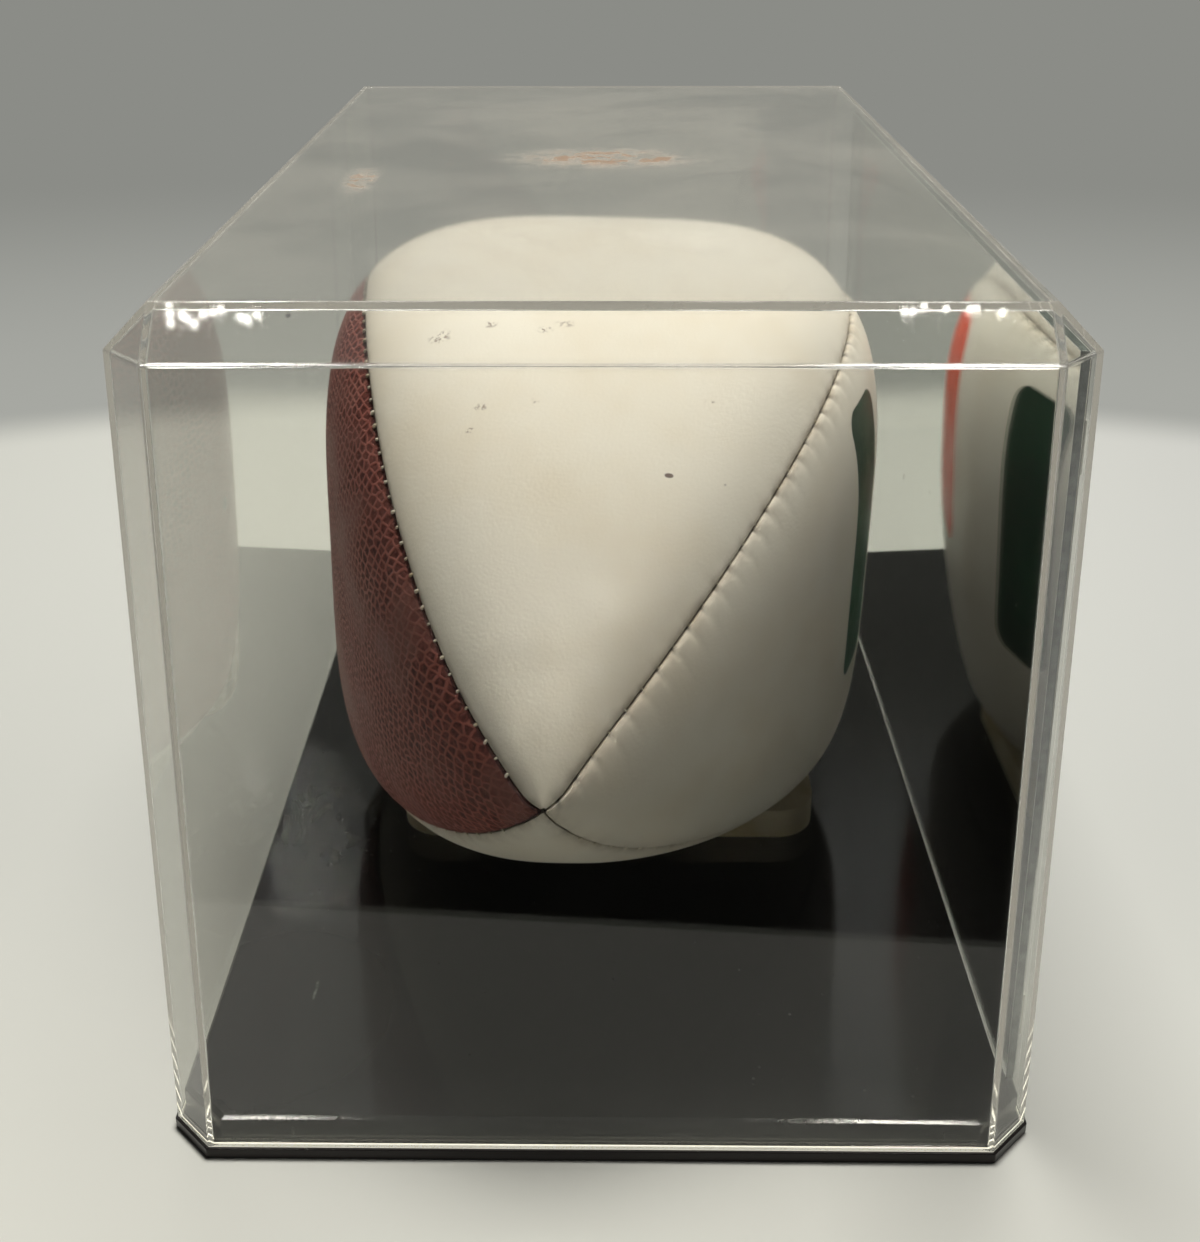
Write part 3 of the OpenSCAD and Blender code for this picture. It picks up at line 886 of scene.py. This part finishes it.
topMarks = {        # flecks and rubbed marks on the top panel: place and reach in mm
    "tone": paint(104, 82, 64),
    "places": (
        ((-42.4, -58.4, 174.3), (4, 3, 4)), ((-29.2, -56.9, 177.5), (2.5, 1.6, 3)),
        ((-14.7, -59.5, 176.9), (2.5, 1.5, 3)), ((-9.5, -57.5, 178.5), (3.5, 1.6, 3)),
        ((-30.5, -81.3, 163.5), (2.2, 1.4, 2)), ((-16.3, -80.6, 165.2), (1.6, 1.2, 2)),
        ((-32.9, -86.8, 159.1), (1.6, 1.2, 2)), ((27.5, -78, 164.1), (1.8, 1.2, 2)),
    ),
    "darkTone": paint(62, 30, 28),
    "darkPlaces": (
        ((16.8, -97.3, 151.5), (1.7, 0.9, 1.0)), ((31.1, -95.2, 148.3), (1.2, 0.9, 1.0)),
        ((31.4, -97.5, 146.3), (0.9, 0.8, 0.8)),
    ),
}


def leatherBase(place, look, dirt):
    old = remap(noiseAt(place, 24.0, 4.0, 0.6), 0.35, 0.75)
    colour = mixColours(times(old, 0.5), look["cream"], look["aged"])
    grime = useGroup(smudges, Place=place, Scale=38.0, Coverage=dirt, Break_up=0.6)
    near = maths("POWER", readAttribute("nearSeam"), 1.5)
    lines = times(near, remap(noiseAt(place, 260.0), 0.3, 0.7, 0.25, 0.8))
    colour = mixColours(times(most(lines, times(grime, 0.28)), 0.75), colour, look["seamDirt"])
    return mixColours(readAttribute("notch"), colour, look["stitchShade"])


def inMetres(ovals):
    return [([c * mm for c in centre], [c * mm for c in size]) for centre, size in ovals]


def makeCreamLeather(name, look, dirt=0.12, printed=None, marks=None):
    material, shader, place = newMaterial(name, Specular_IOR_Level=0.42)
    colour = leatherBase(place, look, dirt)
    if marks:
        broken = remap(noiseAt(place, 1100.0, 3.0), 0.5, 0.6)
        flecks = times(spots(place, inMetres(marks["places"])), broken)
        colour = mixColours(times(flecks, 0.75), colour, marks["tone"])
        dark = remap(spots(place, inMetres(marks["darkPlaces"])), 0.15, 0.5)
        colour = mixColours(times(dark, 0.85), colour, marks["darkTone"])
    rough = remap(noiseAt(place, 60.0, 3.0), 0.3, 0.7, look["roughness"] - 0.05, look["roughness"] + 0.08)
    if printed:
        flat = socketOf("ShaderNodeUVMap", uv_map="leatherMap")
        intact = remap(noiseAt(place, 900.0, 4.0, 0.7), 0.27, 0.33)
        for tone, centre, half, radius in printed["bars"]:
            bar = useGroup(roundBar, Map=flat, Centre=(centre[0] * mm, centre[1] * mm, 0),
                           Half_size=(half[0] * mm, half[1] * mm, 0), Radius=radius * mm)
            kept = times(bar, intact)
            colour = mixColours(kept, colour, printed[tone])
            rough = maths("SUBTRACT", rough, times(kept, 0.08))
    setInputs(shader, Base_Color=colour, Roughness=rough)
    addBump(shader, useGroup(leatherGrain, Place=place, Cell=look["grain"]), 0.28, 0.12 * mm)
    return material


brownLook = {
    # paler ridges: partly the leather's tone, partly a painted highlight
    "ridge": paint(142, 86, 77),
    "worn": paint(160, 110, 99),
    # dark pits: partly the leather's tone, partly painted shade
    "pit": paint(44, 18, 17),
    "smooth": paint(116, 82, 75),        # where the pebbling has worn flat
    "edgeShade": paint(30, 13, 13),
    "pebble": (3.0 * mm, 2.3 * mm, 1.0),        # along the panel and across it
    "wander": (0.0024, 0.0024, 0.0),
    "roughness": 0.5,
}


def makeBrownLeather(look):
    material, shader, place = newMaterial("brownPebbledLeather", Specular_IOR_Level=0.12)
    flat = socketOf("ShaderNodeUVMap", uv_map="leatherMap")
    wander = addNode("ShaderNodeTexNoise", {"Vector": place, "Scale": 110.0}).outputs["Color"]
    moved = vectors("ADD", flat, vectors("MULTIPLY", wander, look["wander"]))
    cells = addNode("ShaderNodeTexVoronoi", {"Vector": vectors("DIVIDE", moved, look["pebble"]),
                                             "Scale": 1.0, "Randomness": 0.55},
                    voronoi_dimensions="2D", feature="DISTANCE_TO_EDGE")
    deep = remap(cells.outputs["Distance"], 0.07, 0.19)
    patchy = remap(noiseAt(place, 34.0, 3.0), 0.34, 0.58, 0.3, 1.0)
    pits = times(deep, patchy)
    rubbed = useGroup(smudges, Place=place, Scale=60.0, Coverage=0.45, Break_up=0.5)
    ridge = mixColours(patchy, look["smooth"], mixColours(times(rubbed, 0.6), look["ridge"], look["worn"]))
    fleck = remap(noiseAt(place, 700.0, 3.0), 0.35, 0.7, 0.55, 1.0)
    # the pits take painted shade with their darker tone, the ridges a painted highlight with their paler one
    colour = mixColours(times(pits, fleck), ridge, look["pit"])
    closeness = readAttribute("nearSeam")
    rim = remap(closeness, 0.77, 0.86, 0.0, 0.9)
    near = times(maths("POWER", closeness, 2.0), 0.35)
    shade = most(near, rim, readAttribute("notch"))
    rough = remap(pits, 0.0, 1.0, look["roughness"], look["roughness"] + 0.16, smooth=False)
    setInputs(shader, Base_Color=mixColours(shade, colour, look["edgeShade"]), Roughness=rough)
    fine = times(noiseAt(place, 1500.0, 3.0), 0.2)
    addBump(shader, maths("SUBTRACT", fine, pits), 0.7, 0.4 * mm)
    return material


leathers = {
    "topPanel": makeCreamLeather("topLeather", creamLook, marks=topMarks),
    "leftPanel": makeBrownLeather(brownLook),
    "bottomPanel": makeCreamLeather("bottomLeather", creamLook, 0.4),
    "rightPanel": makeCreamLeather("printedLeather", creamLook, 0.15, printLook),
}


def cutValveHole(panel, radius, out):        # the hole that the valve sits in
    place = skinPoints(np.array(0.0), np.array(math.pi), 0)
    cutter = bmesh.new()
    bmesh.ops.create_cone(cutter, cap_ends=True, segments=32, radius1=radius, radius2=radius, depth=out,
                          matrix=Matrix.Translation(place) @ Matrix.Rotation(math.pi / 2, 4, "Y"))
    mesh = bpy.data.meshes.new("valveCutter")
    cutter.to_mesh(mesh)
    cutter.free()
    tool = addObject("valveCutter", mesh)
    cut = panel.modifiers.new("valveHole", "BOOLEAN")
    cut.object = tool
    cut.operation = "DIFFERENCE"
    cut.solver = "EXACT"
    bakeModifiers(panel)
    bpy.data.objects.remove(tool)
    bpy.data.meshes.remove(mesh)


for panelName, panelLook in panels.items():
    panel = panelObject(panelName, panelLook, panelMesh, [leathers[panelName]])
    if panelName == "leftPanel":
        cutValveHole(panel, *ball["valveHole"])
    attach(panel, "football")
    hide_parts(panelLook["node"])
print("ball panels made")


# Geometry Nodes: stitches along a seam, and flat laces

def finishGeometry(geometry, material):
    real = addNode("GeometryNodeRealizeInstances", {0: geometry})
    smooth = addNode("GeometryNodeSetShadeSmooth", {0: real.outputs[0]})
    return socketOf("GeometryNodeSetMaterial", {0: smooth.outputs[0], "Material": material})


def randomBetween(low, high, seed):
    if isinstance(low, tuple):
        return socketOf("FunctionNodeRandomValue", {0: low, 1: high, 8: seed},
                       data_type="FLOAT_VECTOR")
    return addNode("FunctionNodeRandomValue", {2: low, 3: high, 8: seed}, data_type="FLOAT").outputs[1]


def evenLine(line, step):        # the line in equal steps, and the way that its points face
    curve = socketOf("GeometryNodeMeshToCurve", {0: line})
    even = socketOf("GeometryNodeResampleCurve", {"Curve": curve, "Length": step}, mode="LENGTH")
    return even, socketOf("GeometryNodeInputNamedAttribute", {"Name": "outward"},
                         data_type="FLOAT_VECTOR")


def sweep(line, profile):
    return socketOf("GeometryNodeCurveToMesh",
                   {"Curve": line, "Profile Curve": profile, "Fill Caps": True})


def stitchRow(line, pitch, halfWidth, rise, thick, seed, material):
    even, outward = evenLine(line, pitch)
    tangent = socketOf("GeometryNodeInputTangent")
    facing = socketOf("FunctionNodeAxesToRotation", {0: outward, 1: tangent},
                     primary_axis="Z", secondary_axis="Y")
    low = times(rise, -1.0)
    ends = {"Start": {0: times(halfWidth, -1.0), 2: low}, "Middle": {2: rise}, "End": {0: halfWidth, 2: low}}
    ends = {name: socketOf("ShaderNodeCombineXYZ", values) for name, values in ends.items()}
    loop = socketOf("GeometryNodeCurveQuadraticBezier", {"Resolution": 6, **ends})
    section = socketOf("GeometryNodeCurvePrimitiveCircle", {"Resolution": 8, "Radius": thick})
    placed = socketOf("GeometryNodeInstanceOnPoints", {
        "Points": even, "Instance": sweep(loop, section), "Rotation": facing,
        "Scale": randomBetween(0.7, 1.2, seed)})
    swing = randomBetween((-0.05, -0.05, -0.28), (0.05, 0.05, 0.28), seed)
    turned = socketOf("GeometryNodeRotateInstances", {"Instances": placed, "Rotation": swing})
    return finishGeometry(turned, material)


def laceBand(line, width, thick, step, material):
    even, outward = evenLine(line, step)
    upright = socketOf("GeometryNodeSetCurveNormal", {"Curve": even, "Normal": outward}, mode="FREE")
    outline = socketOf("GeometryNodeCurvePrimitiveQuadrilateral", {"Width": thick, "Height": width},
                      mode="RECTANGLE")
    rounded = socketOf("GeometryNodeFilletCurve",
                      {"Curve": outline, "Count": 4, "Radius": times(thick, 0.42)}, mode="POLY")
    return finishGeometry(sweep(upright, rounded), material)


def geometryGroup(name, build, *inputs):
    inputs = [("Geometry", "Geometry", None), *inputs, ("Material", "Material", None)]
    return makeGroup(name, "Geometry", build, inputs, "Geometry", "Geometry")


seamStitches = geometryGroup("seamStitches", stitchRow, ("Pitch", "Float", 6.5 * mm),
                             ("Half width", "Float", 1.3 * mm), ("Rise", "Float", 0.3 * mm),
                             ("Thread", "Float", 0.25 * mm), ("Seed", "Int", 3))
flatLace = geometryGroup("flatLace", laceBand, ("Width", "Float", 4.8 * mm),
                         ("Thickness", "Float", 1.4 * mm), ("Step", "Float", 0.6 * mm))


def addLines(name, lines):        # open lines of points, each with the way it faces
    points, edges, outwards = [], [], []
    for line, outward in lines:
        first = len(points)
        edges += [(first + i, first + i + 1) for i in range(len(line) - 1)]
        points += [tuple(p) for p in line]
        outwards.append(outward)
    mesh = bpy.data.meshes.new(name)
    mesh.from_pydata(points, edges, [])
    attribute = mesh.attributes.new("outward", "FLOAT_VECTOR", "POINT")
    attribute.data.foreach_set("vector", np.concatenate(outwards).astype(np.float32).ravel())
    return addObject(name, mesh)


def runGeometry(made, group, values):
    modifier = made.modifiers.new(group.name, "NODES")
    modifier.node_group = group
    for item in group.interface.items_tree:
        if item.in_out == "INPUT" and item.name in values:
            modifier[item.identifier] = values[item.name]
    return bakeModifiers(made)


def outwardAt(s, angle):
    here = skinPoints(s, angle, 0)
    lengthwise = skinPoints(s + 1e-4, angle, 0) - skinPoints(s - 1e-4, angle, 0)
    girthwise = skinPoints(s, angle + 1e-3, 0) - skinPoints(s, angle - 1e-3, 0)
    normal = np.cross(girthwise, lengthwise)
    normal /= np.maximum(np.linalg.norm(normal, axis=-1, keepdims=True), 1e-12)
    inside = np.array(ball["place"]) - here
    return np.where(np.sum(normal * inside, -1, keepdims=True) > 0, -normal, normal)


threads = {
    "tone": paint(228, 222, 205),
    "dirty": paint(178, 164, 136),
    "ends": (-0.985, 0.985),
    "depth": (1.75 * mm, 0.55 * mm, 1.0 * mm, 1.2 * mm),        # under the full form, by seam
    "halfWidth": (0.8 * mm, 0.42 * mm, 0.7 * mm, 0.8 * mm),
    "pitch": (6.5 * mm, 4.6 * mm, 6.5 * mm, 6.5 * mm),
    "thread": (0.25 * mm, 0.36 * mm, 0.25 * mm, 0.25 * mm),
    "names": ("topRightThread", "topLeftThread", "bottomLeftThread", "bottomRightThread"),
}


def makeThreads(look):
    material = mottled("seamThread", 0.7, look["tone"], look["dirty"], (120.0, 3.0, 0.35, 0.7),
                       (5000.0, 2.0, 0.4, 0.05 * mm))
    rows = panelRows(panelMesh)
    for k, name in enumerate(look["names"]):
        path = along(skinPoints(rows, seamAngles(k, rows), 0), 0)
        first, last = (np.interp(end, rows, path) for end in look["ends"])
        pitch = look["pitch"][k]
        count = int((last - first) / pitch)
        start = (math.ceil(first / pitch) + 0.5) * pitch
        s = np.interp(start + np.linspace(0, count, count * 12 + 1) * pitch, path, rows)
        angle = seamAngles(k, s)
        line = addLines(name, [(skinPoints(s, angle, look["depth"][k]), outwardAt(s, angle))])
        runGeometry(line, seamStitches, {"Pitch": pitch, "Half width": look["halfWidth"][k],
                                         "Thread": look["thread"][k], "Seed": 11 + k, "Material": material})
        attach(line, "football")


makeThreads(threads)
print("seam threads made")


laces = {
    "seam": 2,
    "count": 7,
    "pitch": 12 * mm,
    "back": 45 * mm,           # behind the ball's middle
    "half": 13.5 * mm,
    "width": 4.8 * mm,
    "thick": 1.4 * mm,
    "white": paint(224, 219, 204),
    "heights": ((-1.06, -0.9), (-1.0, 0.75), (-0.78, 1.1), (-0.5, 2.6), (-0.3, 2.95), (0.3, 2.95),
                (0.5, 2.6), (0.78, 1.1), (1.0, 0.75), (1.06, -0.9)),        # share of half, and mm
}


def makeLaceMaterial(look):
    material, shader, place = newMaterial("laceCord", Roughness=0.8)
    ribs = addNode("ShaderNodeTexWave", {"Vector": place, "Scale": 420.0, "Distortion": 1.5},
                   bands_direction="DIAGONAL").outputs["Fac"]
    dirty = remap(noiseAt(place, 140.0, 4.0), 0.4, 0.75)
    colour = mixColours(dirty, look["white"], paint(176, 160, 128))
    setInputs(shader, Base_Color=mixColours(times(ribs, 0.2), colour, paint(150, 140, 118)))
    addBump(shader, ribs, 0.5, 0.15 * mm)
    return material


def makeLaces(look):
    material = makeLaceMaterial(look)
    values = {"Width": look["width"], "Thickness": look["thick"], "Material": material}
    middle = look["back"] / ball["halfLength"]
    reach = look["count"] * look["pitch"] / 2 / ball["halfLength"]
    s = np.linspace(middle - reach, middle + reach, 80)
    angle = seamAngles(look["seam"], s)
    strand = addLines("laceStrand", [(skinPoints(s, angle, -1.0 * mm), outwardAt(s, angle))])
    runGeometry(strand, flatLace, values)
    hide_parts("lace_strand")
    places, heights = np.array(look["heights"]).T
    rungs = []
    for i in range(look["count"]):
        s = middle + (i - (look["count"] - 1) / 2) * look["pitch"] / ball["halfLength"]
        centre = float(seamAngles(look["seam"], np.array(s)))
        spread = centre + np.radians(np.linspace(-25, 25, 401))
        arc = along(skinPoints(np.full(401, s), spread, 0), 0)
        share = np.linspace(places[0], places[-1], 61)
        angle = np.interp(arc[200] + share * look["half"], arc, spread)
        height = np.interp(share, places, heights) * mm
        height = np.convolve(np.pad(height, 3, mode="edge"), np.ones(7) / 7, "valid")
        level = np.full(len(angle), s)
        rungs.append((skinPoints(level, angle, -height), outwardAt(level, angle)))
    rungs = addLines("laceRungs", rungs)
    runGeometry(rungs, flatLace, values)
    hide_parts("lace_rungs")
    for piece in (strand, rungs):
        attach(piece, "football")


makeLaces(laces)
print("laces made")


# Inner pieces of the ball

def makeClothMaterial():
    material, shader, place = newMaterial("liningCloth", Roughness=0.9)
    weave = times(*(addNode("ShaderNodeTexWave", {"Vector": place, "Scale": 260.0},
                            bands_direction=way).outputs["Fac"] for way in ("Y", "DIAGONAL")))
    setInputs(shader, Base_Color=mixColours(weave, paint(120, 110, 90), paint(176, 168, 146)))
    addBump(shader, weave, 0.5, 0.2 * mm)
    return material


def makeRubberMaterial(name, tone):
    material, shader, place = newMaterial(name)
    bloom = remap(noiseAt(place, 90.0, 4.0), 0.4, 0.75)
    setInputs(shader, Base_Color=mixColours(times(bloom, 0.2), tone, paint(92, 90, 86)),
              Roughness=remap(bloom, 0.0, 1.0, 0.42, 0.62))
    addBump(shader, noiseAt(place, 1100.0, 2.0), 0.2, 0.1 * mm)
    return material


liningCloth = makeClothMaterial()
for side in ("top", "left", "bottom", "right"):
    setMaterial(side + "_lining", liningCloth)
setMaterial("bladder", makeRubberMaterial("bladderRubber", paint(34, 32, 32)))


valve = {
    "profile": ((8.5, 0.0), (8.5, 0.55), (1.2, 0.6), (0.7, 1.0), (0.5, 1.6), (0.5, 2.3), (0.75, 2.72),
                (1.4, 2.8), (5.2, 2.8), (5.2, 5.6), (5.45, 6.0), (5.95, 6.0), (6.2, 5.6), (6.2, 2.8),
                (14.0, 2.8), (14.5, 2.3), (14.5, 0.0)),        # mm under the skin, and radius
    "segments": 40,
}


def makeValve(look):
    middle = skinPoints(np.array(0.0), np.array(math.pi), 0)
    turns = np.linspace(0, 2 * math.pi, look["segments"], endpoint=False)
    points, rings = [], []
    for deep, radius in look["profile"]:
        size = look["segments"] if radius else 1
        rings.append(range(len(points), len(points) + size))
        for turn in turns[:size]:
            points.append(middle + np.array([deep, radius * math.cos(turn), radius * math.sin(turn)]) * mm)
    faces = []
    for near, far in zip(rings, rings[1:]):
        for i in range(look["segments"]):
            j = (i + 1) % look["segments"]
            corners = [near[i % len(near)], near[j % len(near)], far[j % len(far)], far[i % len(far)]]
            faces.append(list(dict.fromkeys(corners)))
    made = addMesh("airValve", points, faces, [makeRubberMaterial("valveRubber", paint(26, 25, 25))])
    check = bmesh.new()
    check.from_mesh(made.data)
    bmesh.ops.recalc_face_normals(check, faces=check.faces)
    check.to_mesh(made.data)
    check.free()
    made.data.shade_smooth()
    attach(made, "football")
    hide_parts("air_valve")


makeValve(valve)
print("inner pieces dressed")


# Stage and light

stageLook = {
    "floor": paint(217, 218, 210),
    "back": paint(190, 192, 187),      # painted shade: less of the room's light falls behind the case
    # painted shade: the floor darker towards the right
    "right": paint(179, 181, 179),
    "mid": paint(167, 168, 162),
    "far": paint(139, 140, 135),
    "reach": (0.37, 0.43),             # metres from the case's middle where the floor turns grey
    "farReach": (0.4, 1.1),            # and where that grey darkens
    "stretch": 1.6,                    # the pale floor is wider than deep
    "darkFrom": -0.262,                # glossy faces see a dark room in front of this line
    "darkSlope": 0.085,
    "dark": paint(20, 20, 18),
    "near": (-0.2, -0.15),
    "inFront": 0.4,                    # painted shade on the floor in front, as a person standing there would cast
    "shaded": 0.3,
    "size": 6.0,
}


def makeFloor(look):
    size = look["size"]
    material, shader, place = newMaterial("paleFloor", Roughness=0.6, Specular_IOR_Level=0.2)
    x, y = axes(place)[:2]
    distance = vectors("LENGTH", vectors("DIVIDE", place, (look["stretch"], 1.0, 1.0)), result=1)
    far = remap(distance, *look["reach"])
    paths = lightPath()
    ahead = maths("LESS_THAN", y, plus(times(x, look["darkSlope"]), look["darkFrom"]))
    # painted shade: near the front the floor is darker for rays from glossy faces, and for light that it
    # bounces onto the case
    close = remap(y, *look["near"], look["inFront"], 0.0)
    dark = times(most(ahead, close), paths["Is Glossy Ray"])
    dark = most(dark, times(remap(y, *look["near"], look["shaded"], 0.0), paths["Is Diffuse Ray"]))
    cloudy = remap(noiseAt(place, 6.0), 0.3, 0.7)
    pale = mixColours(times(cloudy, 0.15), look["floor"], paint(209, 207, 198))
    # painted shade: the floor darker behind the case and towards its right
    pale = mixColours(remap(y, -0.3, 0.0), pale, look["back"])
    pale = mixColours(remap(x, 0.0, 0.4), pale, look["right"])
    setInputs(shader, Base_Color=mixColours(dark, pale, (0, 0, 0, 1)))
    grey = mixColours(remap(distance, *look["farReach"]), look["mid"], look["far"])
    setSurface(mixShaders(most(far, dark), shader, glowing(mixColours(dark, grey, look["dark"]))))
    corners = [(-size, -size, 0), (size, -size, 0), (size, size, 0), (-size, size, 0)]
    floor = addMesh("floor", corners, [(0, 1, 2, 3)], [material])


worldLook = {
    "fill": (0.82, 0.83, 0.84, 1),
    "fillStrength": 0.02,
    "wall": paint(139, 140, 135),
    "ceiling": paint(170, 170, 166),
    "behindCamera": paint(34, 33, 31),
    "lamplit": paint(250, 250, 252),         # a bright part of the ceiling, behind and to the left
    "lampsFrom": ((-0.08, -0.17), (0.5, 0.65), (0.48, 0.6)),
}


def makeWorld(look):
    world = bpy.data.worlds.new("room")
    scene.world = world
    world.use_nodes = True
    background = begin(world.node_tree).nodes["Background"]
    x, y, z = axes(addNode("ShaderNodeTexCoord").outputs["Generated"])
    paths = lightPath()
    around = mixColours(remap(y, -0.35, 0.25), look["behindCamera"], look["wall"])
    room = mixColours(remap(z, 0.3, 0.8), around, look["ceiling"])
    lit = times(*(remap(way, *limits) for way, limits in zip((x, y, z), look["lampsFrom"])))
    seen = most(paths["Is Camera Ray"], paths["Is Transmission Ray"])
    fill = [c * look["fillStrength"] for c in look["fill"][:3]] + [1]
    colour = mixColours(seen, mixColours(paths["Is Glossy Ray"], fill, room), look["wall"])
    mirrored = maths("GREATER_THAN", paths["Glossy Depth"], 0.5)
    setInputs(background, Color=mixColours(times(lit, mirrored), colour, look["lamplit"]))


lights = {
    "softBoxes": (((0.03, 0.35, 1.45), 26.5), ((0.4, 0.03, 1.45), 7.0)),        # place and power
    "boxSize": (0.7, 0.5),
    "warm": (1.0, 0.97, 0.92),
    "lampSize": 0.007,
    "lampGlow": 34.0,          # brightness, where 1 is white paper
    "lampHeight": 1.62,
    "lampPlaces": ((-0.495, -0.544), (-0.495, -0.555), (-0.496, -0.566), (-0.481, -0.556), (-0.477, -0.561),
                   (-0.469, -0.567), (-0.457, -0.556), (-0.445, -0.553), (-0.436, -0.55), (-0.414, -0.559),
                   (-0.407, -0.562), (-0.395, -0.556), (0.346, -0.552), (0.355, -0.552), (0.367, -0.546),
                   (0.392, -0.549), (0.42, -0.549), (0.427, -0.548), (0.457, -0.553)),
    "strips": (                # windows behind the camera and ceiling lights, for gloss only
        ((-0.69, -2.2, 1.5), (0.18, 2.4), 45.0),
        ((0.6, -2.2, 1.5), (0.22, 2.4), 45.0),
        ((-0.44, 0.25, 1.66), (0.1, 1.2), 25.0),
        ((0.39, 0.25, 1.66), (0.17, 1.2), 10.0),
    ),
    "ceiling": 1.6,            # a strip lower than this faces the case
}


def addLight(name, place, size, power, colour, seen):
    data = bpy.data.lights.new(name, "AREA")
    data.shape = "RECTANGLE"
    data.size, data.size_y = size
    data.energy = power
    data.color = colour
    light = addObject(name, data)
    light.location = place
    light.visible_glossy = seen
    light.visible_transmission = seen
    light.visible_camera = False
    return light


def aimAtCase(light):
    light.rotation_euler = (Vector((0, 0, 0.2)) - light.location).to_track_quat("-Z", "Y").to_euler()


def glossyPieces():        # what the strips light, with what rays see through the clear pieces
    pieces = bpy.data.collections.new("glossyPieces")
    for name in ("clearCover", "mirrorSheet", "mirror_coat"):
        pieces.objects.link(bpy.data.objects[name])
    return pieces


def makeLights(look):
    glossy = glossyPieces()
    for number, (place, power) in enumerate(look["softBoxes"]):
        addLight(f"softBox{number}", place, look["boxSize"], power, look["warm"], False)
    size = (look["lampSize"], look["lampSize"])
    for number, (x, y) in enumerate(look["lampPlaces"]):
        power = 4 * look["lampGlow"] * math.pi * (look["lampSize"] / 2) ** 2
        lamp = addLight(f"lamp{number}", (x, y, look["lampHeight"]), size, power, look["warm"], True)
        lamp.data.shape = "ELLIPSE"
        lamp.visible_diffuse = False
        aimAtCase(lamp)
    for number, (place, size, glow) in enumerate(look["strips"]):
        strip = addLight(f"strip{number}", place, size, 4 * glow * size[0] * size[1], look["warm"], True)
        strip.visible_diffuse = False
        strip.light_linking.receiver_collection = glossy
        if place[2] < look["ceiling"]:
            strip.rotation_euler = (math.pi / 2, 0, 0)


makeFloor(stageLook)
makeWorld(worldLook)
makeLights(lights)
scene.cycles.max_bounces = 24
scene.cycles.transmission_bounces = 20
scene.cycles.glossy_bounces = 16
scene.cycles.sample_clamp_indirect = 40
scene.cycles.transparent_max_bounces = 24
scene.cycles.caustics_refractive = False
scene.cycles.caustics_reflective = False
print("stage and light made")
